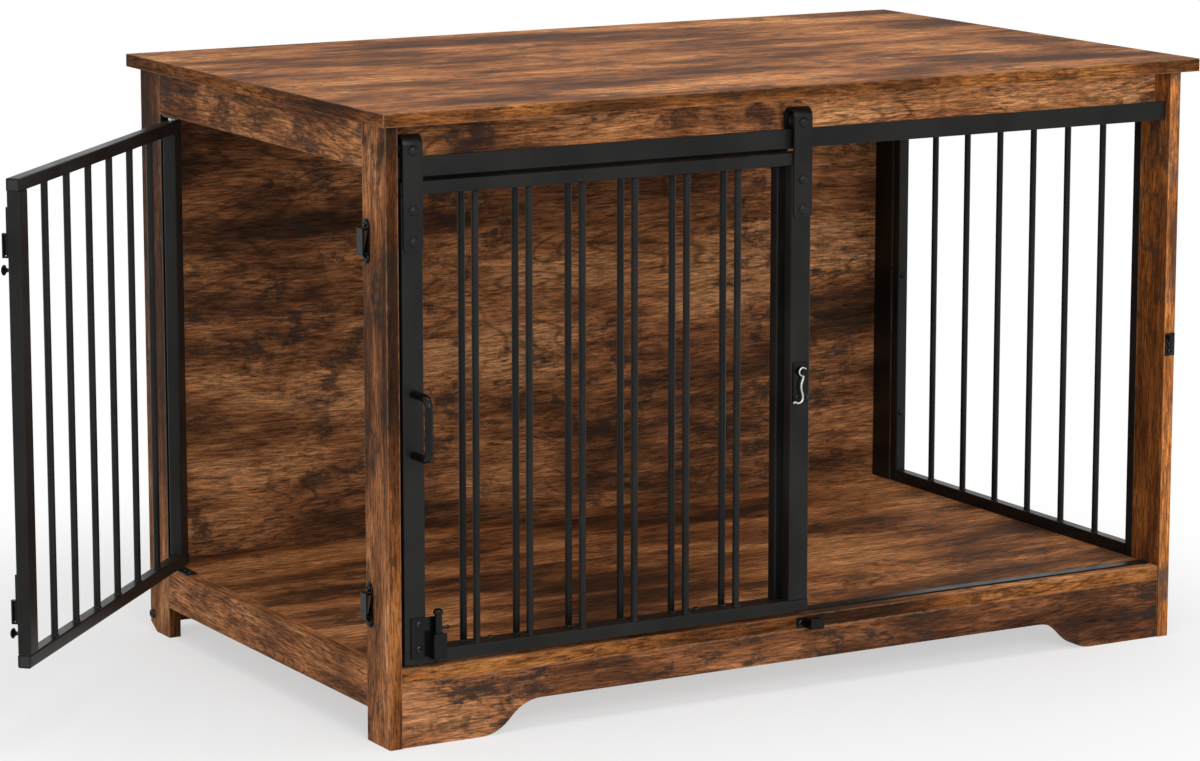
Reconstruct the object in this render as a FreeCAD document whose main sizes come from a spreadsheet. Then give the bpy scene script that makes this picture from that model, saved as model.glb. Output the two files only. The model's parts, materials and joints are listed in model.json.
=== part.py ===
"""Furniture-style pet crate with a sliding barn door and a swing door, as a parametric document.

Crate coordinates in millimetres: X to the right, Y to the back, Z up, with zero at mid-width, at the
front plane of the posts and on the ground. Each sub-part is then moved by one shift, so that the
finished model stands on the centre of its own base. The side door is drawn closed and turned open.
"""
import FreeCAD, Part
import os
import re

import Sketcher

Vector = FreeCAD.Vector
Rotation = FreeCAD.Rotation

SIZES = [
    # Boards
    ("frame_width", 1060, "outer width over the two side frames"),
    ("frame_depth", 645, "outer depth of the side frames"),
    ("total_height", 706, "ground to table top"),
    ("top_thickness", 15, "table top board"),
    ("top_side_overhang", 12, "table top past each side frame"),
    ("top_front_overhang", 20, "table top past the posts' front"),
    ("top_back_overhang", 14, "table top past the posts' back"),
    ("board", 15, "thickness of posts, rails, fascia, apron and back"),
    ("post_width", 55, "width of a post, front to back"),
    ("upper_rail_height", 51, "upper side rail"),
    ("lower_rail_height", 50, "lower side rail"),
    ("floor_top", 88, "height of the floor's upper face, level with the lower rails"),
    ("floor_thickness", 16, "floor panel"),
    ("front_setback", 2, "floor edge and apron behind the posts' front"),
    ("fascia_setback", 30, "fascia and fixed grille behind the posts' front"),
    ("fascia_height", 60, "fascia board under the table top"),
    ("back_clearance", 10, "back panel above the ground"),
    ("skirting_run", 18, "corner cut off each back post for a skirting board, depth"),
    ("skirting_rise", 10, "the same corner, height"),
    ("foot_run", 119, "flat length of an apron foot"),
    ("ogee_run", 36, "length of the slope between foot and arch"),
    ("arch_height", 36, "arch of the apron above the ground"),
    ("ogee_radius", 50, "rounding at both ends of the slope"),
    ("cleat_width", 14, "wood strip between the left post and the fixed grille"),
    # Joinery
    ("pin_play", 0.05, "radial play round pins, dowels and screws"),
    ("dowel_radius", 4, "wooden dowel"),
    ("dowel_bite", 9, "dowel depth in the thin board"),
    ("dowel_length", 30, "wooden dowel"),
    ("dowel_inset", 92, "outermost dowel from the end of its row"),
    ("cam_radius", 7.5, "cam lock disc"),
    ("cam_depth", 11, "cam lock disc"),
    ("cam_inset", 24, "cam centre from the joint"),
    ("cam_bolt_radius", 3.5, "bolt that a cam lock pulls"),
    ("cam_bolt_bite", 10, "cam bolt depth in the post"),
    ("panel_bolt_height", 21, "back panel bolt above the ground"),
    ("panel_bolt_length", 40, "back panel bolt"),
    # Steel sections and screws
    ("tube", 15, "square tube of all frames, also their thickness"),
    ("tube_wall", 1.5, "wall of the tubes"),
    ("bar_radius", 4, "round grille bars"),
    ("screw_radius", 2, "shank of the small screws"),
    ("screw_length", 14, "shank of the small screws"),
    ("screw_head_radius", 4, "head of the small screws"),
    ("screw_head_height", 2, "head of the small screws"),
    ("bolt_radius", 3, "shank of the bolts and axles"),
    ("bolt_head_radius", 6, "head and nut of the bolts"),
    ("bolt_head_height", 3.5, "head and nut of the bolts"),
    ("sheet", 2, "sheet metal of plates and keepers"),
    ("plug_length", 9, "plastic plug in an open tube end"),
    ("plug_play", 0.1, "plug clear of the tube's wall, each side"),
    # Fixed grilles
    ("grille_mid_gap", 1, "fixed front grille's end short of mid-width"),
    ("grille_screw_bite", 10, "grille screw depth in the wood"),
    ("jamb_plate_gap", 2, "steel plate on the back right post, short of the back panel"),
    ("strip_setback", 20, "threshold strip behind the posts' front"),
    ("strip_width", 14, "threshold strip"),
    # Sliding-door track
    ("rail_height", 22, "flat track rail"),
    ("rail_thickness", 5, "flat track rail"),
    ("rail_setback", 6, "track rail behind the door's front"),
    ("rail_drop", 59, "lower edge of the track rail below the table top's underside"),
    ("rail_end_gap", 2, "track rail to post"),
    ("standoff_radius", 7, "spacer between rail and fascia"),
    ("standoff_inset", 65, "outer spacer from the post"),
    ("rail_bolt_bite", 3.5, "rail bolt depth in the rail"),
    # Barn door
    ("door_gap", 4, "parked door to left post"),
    ("door_overlap", 11, "parked door's right edge past mid-width"),
    ("door_close_gap", 14, "closed door to right post"),
    ("door_clearance", 5, "doors above the floor"),
    ("door_top_gap", 4, "barn door's top edge below the track rail"),
    ("stile_width", 26, "barn door stile"),
    ("hanger_width", 24, "hanger strap"),
    ("hanger_thickness", 3, "hanger strap"),
    ("hanger_corner", 5, "rounded lower corners of the strap"),
    ("hanger_bolt_drop", 31, "upper strap bolt below the door's top edge"),
    ("hanger_bolt_pitch", 34, "upper strap bolt to lower strap bolt"),
    ("hanger_end", 10, "strap past its lower bolt"),
    ("bend_rise", 5, "strap's bend centre above the axle"),
    ("strap_clearance", 3, "back leg of the strap above the spacers"),
    ("tread_radius", 8, "roller at the bottom of its groove"),
    ("flange_depth", 2, "roller's rims past its tread"),
    ("roller_width", 10, "roller"),
    ("groove_play", 0.5, "groove to rail, each side"),
    ("roller_gap", 0.3, "tread above the rail"),
    ("spacer_radius", 5.5, "spacer beside a roller"),
    ("spacer_gap", 0.1, "spacer to roller"),
    # Pull handle
    ("handle_rise", 1.5, "middle of the pull handle above the door's middle"),
    ("handle_span", 68, "between the legs of the handle"),
    ("handle_reach", 36, "grip's centre in front of the door"),
    ("handle_radius", 4.5, "handle bar"),
    ("handle_corner", 11, "bend of the handle"),
    ("handle_bite", 12, "screw depth in a leg"),
    # Floor bolt and its keeper
    ("bolt_offset", 11, "floor bolt's axis from the stile's inner edge"),
    ("bolt_stand", 8, "floor bolt's axis in front of the door"),
    ("drop_radius", 4, "floor bolt rod"),
    ("drop_lift", 3, "raised bolt's tip above the door's lower edge"),
    ("drop_travel", 20, "floor bolt's drop"),
    ("drop_cap_gap", 0.5, "floor bolt's head to the plate behind it"),
    ("drop_cap_height", 6, "floor bolt's head"),
    ("drop_cap_rise", 16, "floor bolt's head above its side pin"),
    ("drop_handle_radius", 2, "floor bolt's side pin"),
    ("drop_handle_length", 14, "floor bolt's side pin"),
    ("drop_handle_height", 38, "side pin above the rod's tip"),
    ("housing_base", 7, "housing above the door's lower edge"),
    ("housing_height", 28, "guide block of the floor bolt"),
    ("housing_width", 16, "guide block of the floor bolt"),
    ("housing_plate_height", 46, "plate that carries the guide block"),
    ("housing_plate_side", 19, "plate on the stile beside the inner edge"),
    ("floor_keeper_height", 12, "block that receives the floor bolt"),
    ("floor_keeper_drop", 2, "keeper block below the floor's upper face"),
    ("floor_keeper_width", 18, "block that receives the floor bolt"),
    ("floor_keeper_tab", 10, "screwed tab on each side of the block"),
    ("floor_keeper_play", 0.8, "bolt in the keeper block, radial"),
    # Swing hook and its catch
    ("hook_rise", 14, "hook's pivot above the pull handle's middle"),
    ("hook_overreach", 13, "closed hook's tip past the right post's inner face"),
    ("hook_hub_radius", 6.5, "round end of the hook"),
    ("hook_width", 6, "hook's arm"),
    ("hook_thickness", 3, "hook's arm"),
    ("hook_gap", 2.4, "hook to its plate"),
    ("hook_lip", 7, "bent tip, past the arm"),
    ("hook_plate_width", 20, "hook's plate"),
    ("hook_plate_height", 46, "hook's plate"),
    ("hook_plate_rise", 10, "plate above the pivot"),
    ("stud_radius", 3, "stud that holds the hook"),
    ("stud_play", 0.5, "hook to stud"),
    ("catch_height", 27, "catch plate"),
    # Side door, its pivots and its latches
    ("side_stile_width", 25, "side door stile"),
    ("side_free_gap", 4, "side door to front left post"),
    ("side_hinge_gap", 3, "side door to its jamb"),
    ("side_top_gap", 6, "side door to the upper rail"),
    ("side_open_angle", 43.5, "side door's opening as stored, in degrees"),
    ("pivot_radius", 4, "pivot pin"),
    ("pivot_reach", 16, "pivot pin past its bracket"),
    ("bracket_front", 34, "pivot bracket in front of its pin"),
    ("bracket_rear", 10, "pivot bracket behind its pin"),
    ("bracket_screw_start", 13, "pivot pin to the nearer bracket screw"),
    ("bracket_screw_pitch", 13, "nearer to farther bracket screw"),
    ("washer_radius", 6, "washer under the side door"),
    ("upper_latch_drop", 74, "upper latch below the side door's top edge"),
    ("lower_latch_rise", 62, "lower latch above the side door's lower edge"),
    ("latch_plate_margin", 2, "latch plate inside the stile's edges"),
    ("latch_screw_rise", 22, "lower plate screw above the latch's middle"),
    ("latch_screw_pitch", 13, "lower to upper plate screw"),
    ("latch_plate_end", 7, "latch plate past its upper screw"),
    ("tongue_height", 22, "flat tongue of a latch slide"),
    ("tongue_thickness", 2.5, "flat tongue of a latch slide"),
    ("tongue_inset", 4, "drawn-back tongue inside the door's edge"),
    ("tongue_play", 0.5, "tongue in its guide and keeper"),
    ("guide_length", 5, "guide strap over the tongue"),
    ("slide_travel", 22, "latch slide's travel"),
    ("tail_width", 8, "tail that carries the knob"),
    ("tail_length", 27, "tail below the tongue"),
    ("tail_gap", 1, "tail of the pushed-out slide to its guide"),
    ("knob_end", 6, "knob's middle above the tail's end"),
    ("knob_stem_radius", 2.5, "knob's stem"),
    ("knob_stem_length", 9, "knob's stem"),
    ("knob_radius", 5.5, "knob"),
    ("knob_length", 7, "knob"),
    ("keeper_length", 14, "keeper, front to back"),
    ("keeper_inset", 3, "keeper from the post's edge"),
    ("keeper_stand", 7, "inside height of the keeper's bridge"),
    ("keeper_slack", 4, "keeper's bridge taller than the tongue"),
    ("keeper_tab", 10, "screwed tab of a keeper"),
    ("keeper_rim", 3, "strip that joins a keeper's tabs under its bridge"),
]

BAR_COUNT = 6
STANDOFF_COUNT = 4
DOWELS_PER_ROW = 3

doc = FreeCAD.newDocument("PetCrate")
sheet = doc.addObject("Spreadsheet::Sheet", "Sizes")
for row, (alias, value, meaning) in enumerate(SIZES, 1):
    sheet.set(f"A{row}", meaning)
    sheet.set(f"B{row}", str(value))
    sheet.setAlias(f"B{row}", alias)
doc.recompute()

ALIASES = {alias for alias, value, meaning in SIZES}

# Places that several sub-parts share, as formulas of the driving sizes
UNDER_TOP = "(total_height - top_thickness)"
SIDE = "(frame_width / 2)"
INNER = "(frame_width / 2 - board)"
BACK_POST = "(frame_depth - post_width)"
BACK_FACE = "(frame_depth - board)"
FASCIA_BOTTOM = f"({UNDER_TOP} - fascia_height)"
UPPER_RAIL_BOTTOM = f"({UNDER_TOP} - upper_rail_height)"
FASCIA_BACK = "(fascia_setback + board)"
FLOOR_BOTTOM = "(floor_top - floor_thickness)"

RAIL_BOTTOM = f"({UNDER_TOP} - rail_drop)"
RAIL_TOP = f"({RAIL_BOTTOM} + rail_height)"
RAIL_MIDDLE = "(rail_setback + rail_thickness / 2)"
RAIL_LINE = f"({RAIL_BOTTOM} + rail_height / 2)"
AXLE_HEIGHT = f"({RAIL_TOP} + roller_gap + tread_radius)"
BEND_HEIGHT = f"({AXLE_HEIGHT} + bend_rise)"
BACK_LEG = f"(2 * {RAIL_MIDDLE})"

DOOR_LEFT = f"(-{INNER} + door_gap)"
DOOR_RIGHT = "door_overlap"
DOOR_WIDTH = f"({DOOR_RIGHT} - {DOOR_LEFT})"
DOOR_TRAVEL = f"({INNER} - door_close_gap - {DOOR_RIGHT})"
DOOR_BOTTOM = "(floor_top + door_clearance)"
DOOR_TOP = f"({RAIL_BOTTOM} - door_top_gap)"
HANDLE_HEIGHT = f"(({DOOR_BOTTOM} + {DOOR_TOP}) / 2 + handle_rise)"
STILE_EDGE = f"({DOOR_LEFT} + stile_width)"
LEFT_STILE_MIDDLE = f"({DOOR_LEFT} + stile_width / 2)"
RIGHT_STILE_MIDDLE = f"({DOOR_RIGHT} - stile_width / 2)"

GRILLE_LEFT = f"(-{INNER} + cleat_width)"
GRILLE_RIGHT = "(-grille_mid_gap)"

DROP_X = f"({STILE_EDGE} + bolt_offset)"
DROP_TIP = f"({DOOR_BOTTOM} + drop_lift)"
HOUSING_BOTTOM = f"({DOOR_BOTTOM} + housing_base)"
HOOK_Y = "(-(sheet + hook_gap))"
HOOK_HEIGHT = f"({HANDLE_HEIGHT} + hook_rise)"
HOOK_LENGTH = f"({INNER} + hook_overreach - {RIGHT_STILE_MIDDLE} - {DOOR_TRAVEL})"
STUD_X = f"({INNER} + hook_overreach - hook_width - stud_play - stud_radius)"

SIDE_FREE = "(post_width + side_free_gap)"
SIDE_HINGED = f"({BACK_POST} - sheet - side_hinge_gap)"
SIDE_TOP = f"({UPPER_RAIL_BOTTOM} - side_top_gap)"
SIDE_WIDTH = f"({SIDE_HINGED} - {SIDE_FREE})"
PIVOT_X = f"(-{SIDE} + tube / 2)"
PIVOT_Y = f"({SIDE_HINGED} - side_stile_width / 2)"
LATCH_SKIN = f"(-{SIDE} - sheet)"
TONGUE_OUT = f"({LATCH_SKIN} - tongue_play / 2 - tongue_thickness)"
KEEPER_HALF = "(tongue_height / 2 + keeper_slack / 2)"
PLATE_START = f"({SIDE_FREE} + latch_plate_margin)"
GUIDE_SKIN = f"({TONGUE_OUT} - tongue_play)"

# The finished model's base centre: the open side door's latch guide is the far left, the handle the far
# front, the table top the rest
OPEN_SINE = "sin(side_open_angle * 1 deg)"
OPEN_COSINE = "cos(side_open_angle * 1 deg)"
GUIDE_REACH = f"({PIVOT_Y} - {PLATE_START})"
GUIDE_STAND = f"({PIVOT_X} - {GUIDE_SKIN} + sheet)"
FAR_LEFT = f"(-{PIVOT_X} + {GUIDE_REACH} * {OPEN_SINE} + {GUIDE_STAND} * {OPEN_COSINE})"
FAR_RIGHT = f"({SIDE} + top_side_overhang)"
FAR_FRONT = "(handle_reach + handle_radius)"
FAR_BACK = "(frame_depth + top_back_overhang)"
SHIFT_X = f"(({FAR_LEFT} - {FAR_RIGHT}) / 2)"
SHIFT_Y = f"(({FAR_FRONT} - {FAR_BACK}) / 2)"

AXIS_TURN = {
    "+x": Rotation(Vector(0, 1, 0), 90),
    "-x": Rotation(Vector(0, 1, 0), -90),
    "+y": Rotation(Vector(1, 0, 0), -90),
    "-y": Rotation(Vector(1, 0, 0), 90),
    "+z": Rotation(),
    "-z": Rotation(Vector(1, 0, 0), 180),
}

pieces = []
holes = {}


def in_sheet(formula):
    """The formula with each alias written as a cell of the sheet."""
    return re.sub(r"[a-z_]+", lambda word: "Sizes." + word[0] if word[0] in ALIASES else word[0], formula)


def bind(thing, prop, formula):
    thing.setExpression(prop, in_sheet(formula))


def put(thing, x, y, z):
    for axis, formula in zip("xyz", (x, y, z)):
        bind(thing, f"Placement.Base.{axis}", formula)
    return thing


def box(x, y, z, length, width, height):
    block = doc.addObject("Part::Box", "Block")
    bind(block, "Length", length)
    bind(block, "Width", width)
    bind(block, "Height", height)
    return put(block, x, y, z)


def rod(axis, x, y, z, radius, length):
    """A cylinder that starts at a point and runs along a signed axis."""
    cylinder = doc.addObject("Part::Cylinder", "Rod")
    bind(cylinder, "Radius", radius)
    bind(cylinder, "Height", length)
    cylinder.Placement.Rotation = AXIS_TURN[axis]
    return put(cylinder, x, y, z)


def fuse(members):
    union = doc.addObject("Part::MultiFuse", "Union")
    union.Shapes = members
    union.Refine = True
    return union


def cut(base, tools):
    if len(tools) == 1:
        tool = tools[0]
    else:
        tool = doc.addObject("Part::Compound", "Tools")
        tool.Links = tools
    rest = doc.addObject("Part::Cut", "Rest")
    rest.Base = base
    rest.Tool = tool
    return rest


def tube(axis, x, y, z, length, width, height):
    """A hollow rectangular tube, open at both ends along its axis."""
    outside = box(x, y, z, length, width, height)
    start = {"x": x, "y": y, "z": z}
    extent = {"x": length, "y": width, "z": height}
    for name in "xyz":
        if name == axis:
            start[name] = f"{start[name]} - tube_wall"
            extent[name] = f"{extent[name]} + 2 * tube_wall"
        else:
            start[name] = f"{start[name]} + tube_wall"
            extent[name] = f"{extent[name]} - 2 * tube_wall"
    inside = box(*start.values(), *extent.values())
    return cut(outside, [inside])


def outline_body(name, plane_role, corners):
    """A body with a closed sketch on one of its origin planes, each corner held by two formulas."""
    body = doc.addObject("PartDesign::Body", name)
    sketch = body.newObject("Sketcher::SketchObject", name + "Outline")
    plane = next(feature for feature in body.Origin.OriginFeatures if feature.Role == plane_role)
    sketch.AttachmentSupport = [(plane, "")]
    sketch.MapMode = "FlatFace"
    count = len(corners)
    rough = [Vector(10 * i + 1, 7 * i * i + 2, 0) for i in range(count)]
    for i in range(count):
        sketch.addGeometry(Part.LineSegment(rough[i], rough[(i + 1) % count]))
    for i in range(count):
        sketch.addConstraint(Sketcher.Constraint("Coincident", i, 2, (i + 1) % count, 1))
    for i, (across, up) in enumerate(corners):
        for kind, axis_line, formula in (("DistanceX", -2, across), ("DistanceY", -1, up)):
            if formula == "0":
                sketch.addConstraint(Sketcher.Constraint("PointOnObject", i, 1, axis_line))
            else:
                index = sketch.addConstraint(Sketcher.Constraint(kind, -1, 1, i, 1, 10.0))
                bind(sketch, f"Constraints[{index}]", formula)
    return body, sketch


def padded_outline(name, plane_role, corners, depth, backwards=False):
    body, sketch = outline_body(name, plane_role, corners)
    pad = body.newObject("PartDesign::Pad", name + "Pad")
    pad.Profile = sketch
    pad.Reversed = backwards
    bind(pad, "Length", depth)
    doc.recompute()
    return body, pad


def drill(nodes, axis, x, y, z, radius, length):
    """A hole with play for a pin of this radius, in each of the named sub-parts."""
    for node in nodes:
        holes.setdefault(node, []).append(rod(axis, x, y, z, f"{radius} + pin_play", length))


OPPOSITE = {"+": "-", "-": "+"}


def headed_pin(axis, x, y, z, radius, length, head_radius, head_height, through):
    """A screw or bolt: the head stands on a face at the point, the shank runs along the axis into it."""
    outward = OPPOSITE[axis[0]] + axis[1]
    shank = rod(axis, x, y, z, radius, length)
    head = doc.addObject("Part::Cone", "Head")
    bind(head, "Radius1", head_radius)
    bind(head, "Radius2", f"{head_radius} * 0.6")
    bind(head, "Height", head_height)
    head.Placement.Rotation = AXIS_TURN[outward]
    put(head, x, y, z)
    drill(through, axis, x, y, z, radius, f"{length} + pin_play")
    return fuse([shank, head])


def screw(axis, x, y, z, through, length="screw_length", head_height="screw_head_height"):
    return headed_pin(axis, x, y, z, "screw_radius", length, "screw_head_radius", head_height, through)


def bolt(axis, x, y, z, length, through):
    return headed_pin(axis, x, y, z, "bolt_radius", length, "bolt_head_radius", "bolt_head_height", through)


def ring(axis, x, y, z, radius, length):
    """A nut or spacer with a running hole for a bolt."""
    return cut(rod(axis, x, y, z, radius, length), [rod(axis, x, y, z, "bolt_radius + pin_play", length)])


def piece(label, *members, on_side_door=False):
    pieces.append((label, list(members), on_side_door))


def spread(first, last, count, i):
    """Formula of the i-th of several places spread evenly strictly between two others."""
    return f"({first} + ({last} - {first}) * {i + 1} / {count + 1})"


# Table top, posts and rails
def boards():
    piece("top_board", box(f"-{SIDE} - top_side_overhang", "-top_front_overhang", UNDER_TOP,
                           "frame_width + 2 * top_side_overhang",
                           "frame_depth + top_front_overhang + top_back_overhang", "top_thickness"))
    rail_length = f"{BACK_POST} - post_width"
    back_corners = [("0", "0"), ("post_width - skirting_run", "0"), ("post_width", "skirting_rise"),
                    ("post_width", UNDER_TOP), ("0", UNDER_TOP)]
    for side, x in (("left", f"-{SIDE}"), ("right", INNER)):
        piece(f"front_{side}_post", box(x, "0", "0", "board", "post_width", UNDER_TOP))
        body, pad = padded_outline(f"Back{side.capitalize()}Post", "YZ_Plane", back_corners, "board")
        piece(f"back_{side}_post", put(body, x, BACK_POST, "0"))
        piece(f"{side}_upper_rail", box(x, "post_width", UPPER_RAIL_BOTTOM,
                                        "board", rail_length, "upper_rail_height"))
        piece(f"{side}_lower_rail", box(x, "post_width", "floor_top - lower_rail_height",
                                        "board", rail_length, "lower_rail_height"))
    piece("front_fascia", box(f"-{INNER}", "fascia_setback", FASCIA_BOTTOM,
                              f"2 * {INNER}", "board", "fascia_height"))
    piece("floor_panel", box(f"-{INNER}", "front_setback", FLOOR_BOTTOM,
                             f"2 * {INNER}", f"{BACK_FACE} - front_setback", "floor_thickness"))
    piece("back_panel", box(f"-{INNER}", BACK_FACE, "back_clearance",
                            f"2 * {INNER}", "board", f"{UNDER_TOP} - back_clearance"))
    piece("grille_cleat", box(f"-{INNER}", "fascia_setback", "floor_top",
                              "cleat_width", "board", f"{FASCIA_BOTTOM} - floor_top"))


# Front apron with an arch between two feet and rounded slopes
def apron():
    width = f"(2 * {INNER})"
    corners = [("0", "0"), ("foot_run", "0"), ("foot_run + ogee_run", "arch_height"),
               (f"{width} - foot_run - ogee_run", "arch_height"), (f"{width} - foot_run", "0"),
               (width, "0"), (width, FLOOR_BOTTOM), ("0", FLOOR_BOTTOM)]
    body, pad = padded_outline("FrontApron", "XZ_Plane", corners, "board", backwards=True)
    arch = sheet.get("arch_height")
    far_end = pad.Shape.BoundBox.XMax
    slope_edges = []
    for number, edge in enumerate(pad.Shape.Edges, 1):
        first, last = edge.Vertexes[0].Point, edge.Vertexes[-1].Point
        across = abs(first.x - last.x) < 1e-6 and abs(first.z - last.z) < 1e-6
        if across and 1e-6 < first.x < far_end - 1e-6 and first.z < arch + 1e-6:
            slope_edges.append(f"Edge{number}")
    rounding = body.newObject("PartDesign::Fillet", "FrontApronSlopes")
    rounding.Base = (pad, slope_edges)
    bind(rounding, "Radius", "ogee_radius")
    piece("front_apron", put(body, f"-{INNER}", "front_setback", "0"))


# Cam locks pull the rails, fascia and apron to the posts; dowels locate the floor and the table top
def joinery():
    cams, cam_bolts, dowels, panel_bolts = [], [], [], []
    bolt_reach = "(cam_bolt_bite + cam_inset - cam_radius - pin_play)"

    def cam_joint(board_node, post_node, inward, x, y, z, cam_axis, cam_x, cam_y, cam_z):
        """One joint: the cam sits in the board's hidden face, its bolt in the post."""
        cam_bolts.append(rod(inward, x, y, z, "cam_bolt_radius", bolt_reach))
        drill([post_node], inward, x, y, z, "cam_bolt_radius", "cam_bolt_bite")
        drill([board_node], inward, x, y, z, "cam_bolt_radius", f"{bolt_reach} + pin_play")
        cams.append(rod(cam_axis, cam_x, cam_y, cam_z, "cam_radius", "cam_depth"))
        drill([board_node], cam_axis, cam_x, cam_y, cam_z, "cam_radius", "cam_depth")

    for side, sign, outward in (("left", "-", "-x"), ("right", "", "+x")):
        middle = f"{sign}({SIDE} - board / 2)"
        face = f"{sign}{INNER}"
        for level, z in (("upper", f"{UNDER_TOP} - upper_rail_height / 2"),
                         ("lower", "floor_top - lower_rail_height / 2")):
            rail = f"{side}_{level}_rail"
            cam_joint(rail, f"front_{side}_post", "+y", middle, "post_width - cam_bolt_bite", z,
                      outward, face, "post_width + cam_inset", z)
            cam_joint(rail, f"back_{side}_post", "-y", middle, f"{BACK_POST} + cam_bolt_bite", z,
                      outward, face, f"{BACK_POST} - cam_inset", z)
        inward = "+x" if side == "left" else "-x"
        start = f"{sign}({INNER} + cam_bolt_bite)"
        cam_x = f"{sign}({INNER} - cam_inset)"
        for board_node, setback, z in (
                ("front_fascia", "fascia_setback", f"{UNDER_TOP} - fascia_height / 2"),
                ("front_apron", "front_setback", f"{FLOOR_BOTTOM} / 2")):
            cam_joint(board_node, f"front_{side}_post", inward, start, f"{setback} + board / 2", z,
                      "-y", cam_x, f"{setback} + board", z)
        for i in range(DOWELS_PER_ROW):
            share = f"{i} / {DOWELS_PER_ROW - 1}"
            y = f"post_width + dowel_inset + ({BACK_POST} - post_width - 2 * dowel_inset) * {share}"
            floor_line = "floor_top - floor_thickness / 2"
            floor_start = f"{sign}({INNER} + dowel_bite)"
            dowels.append(rod(inward, floor_start, y, floor_line, "dowel_radius", "dowel_length"))
            drill([f"{side}_lower_rail", "floor_panel"], inward, floor_start, y, floor_line,
                  "dowel_radius", "dowel_length")
            top_start = f"{UNDER_TOP} + dowel_bite"
            dowels.append(rod("-z", middle, y, top_start, "dowel_radius", "dowel_length"))
            drill([f"{side}_upper_rail", "top_board"], "-z", middle, y, top_start,
                  "dowel_radius", "dowel_length")
        panel_bolts.append(bolt(inward, f"{sign}{SIDE}", f"{BACK_FACE} + board / 2", "panel_bolt_height",
                                "panel_bolt_length", [f"back_{side}_post", "back_panel"]))
    piece("cam_locks", *cams)
    piece("cam_bolts", *cam_bolts)
    piece("wood_dowels", *dowels)
    piece("back_panel_bolts", *panel_bolts)


# Fixed grilles: front left half, whole right side
def fixed_grilles():
    height = f"({FASCIA_BOTTOM} - floor_top)"
    bar_bottom = "floor_top + tube"
    bar_length = f"{height} - 2 * tube"
    middle = "fascia_setback + tube / 2"
    inside = f"{GRILLE_RIGHT} - {GRILLE_LEFT} - 2 * tube"
    top_bar = f"{FASCIA_BOTTOM} - tube"
    piece("fixed_grille_frame",
          tube("z", GRILLE_LEFT, "fascia_setback", "floor_top", "tube", "tube", height),
          tube("z", f"{GRILLE_RIGHT} - tube", "fascia_setback", "floor_top", "tube", "tube", height),
          tube("x", f"{GRILLE_LEFT} + tube", "fascia_setback", "floor_top", inside, "tube", "tube"),
          tube("x", f"{GRILLE_LEFT} + tube", "fascia_setback", top_bar, inside, "tube", "tube"))
    left_end, right_end = f"({GRILLE_LEFT} + tube)", f"({GRILLE_RIGHT} - tube)"
    bars = []
    for i in range(BAR_COUNT):
        x = spread(left_end, right_end, BAR_COUNT, i)
        bars.append(rod("+z", x, middle, bar_bottom, "bar_radius", bar_length))
    piece("fixed_grille_bars", *bars)

    screws = []
    long_screw = "(tube + grille_screw_bite)"
    for gap in (0.5, BAR_COUNT - 1.5):
        x = spread(left_end, right_end, BAR_COUNT, gap)
        for axis, z, board_node in (("-z", bar_bottom, "floor_panel"), ("+z", top_bar, "front_fascia")):
            screws.append(screw(axis, x, middle, z, ["fixed_grille_frame", board_node], long_screw))

    right_height = f"({UPPER_RAIL_BOTTOM} - floor_top)"
    right_span = f"({BACK_POST} - post_width - 2 * tube)"
    front_stile = "(post_width + tube)"
    rear_stile = f"({BACK_POST} - tube)"
    piece("right_grille_frame",
          tube("z", INNER, "post_width", "floor_top", "tube", "tube", right_height),
          tube("z", INNER, rear_stile, "floor_top", "tube", "tube", right_height),
          tube("y", INNER, front_stile, "floor_top", "tube", right_span, "tube"),
          tube("y", INNER, front_stile, f"{UPPER_RAIL_BOTTOM} - tube", "tube", right_span, "tube"))
    side_middle = f"{INNER} + tube / 2"
    bars = []
    for i in range(BAR_COUNT):
        y = spread(front_stile, rear_stile, BAR_COUNT, i)
        bars.append(rod("+z", side_middle, y, bar_bottom, "bar_radius", f"{right_height} - 2 * tube"))
    piece("right_grille_bars", *bars)
    for share in ("1 / 6", "3 / 6", "5 / 6"):
        z = f"floor_top + {right_height} * {share}"
        for axis, y, post in (("-y", front_stile, "front_right_post"), ("+y", rear_stile, "back_right_post")):
            screws.append(screw(axis, side_middle, y, z, ["right_grille_frame", post], long_screw))
    piece("grille_screws", *screws)
    piece("right_jamb_plate", box(f"{INNER} - sheet", BACK_POST, "floor_top",
                                  "sheet", f"{BACK_FACE} - {BACK_POST} - jamb_plate_gap", right_height))
    piece("threshold_strip", box(GRILLE_RIGHT, "strip_setback", "floor_top",
                                 f"{INNER} - {GRILLE_RIGHT}", "strip_width", "sheet"))


# Track rail on spacers, bolted from inside the fascia
def track():
    rail = box(f"-{INNER} + rail_end_gap", "rail_setback", RAIL_BOTTOM,
               f"2 * ({INNER} - rail_end_gap)", "rail_thickness", "rail_height")
    piece("slide_rail", rail)
    behind_rail = "(rail_setback + rail_thickness)"
    standoff_length = f"fascia_setback - {behind_rail}"
    bolt_length = f"({FASCIA_BACK} - {behind_rail} + rail_bolt_bite)"
    standoffs, bolts = [], []
    for i in range(STANDOFF_COUNT):
        x = f"(-{INNER} + standoff_inset + 2 * ({INNER} - standoff_inset) * {i} / {STANDOFF_COUNT - 1})"
        standoffs.append(rod("+y", x, behind_rail, RAIL_LINE, "standoff_radius", standoff_length))
        bolts.append(bolt("-y", x, FASCIA_BACK, RAIL_LINE, bolt_length,
                          ["front_fascia", "rail_standoffs", "slide_rail"]))
    piece("rail_standoffs", *standoffs)
    piece("rail_bolts", *bolts)


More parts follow.
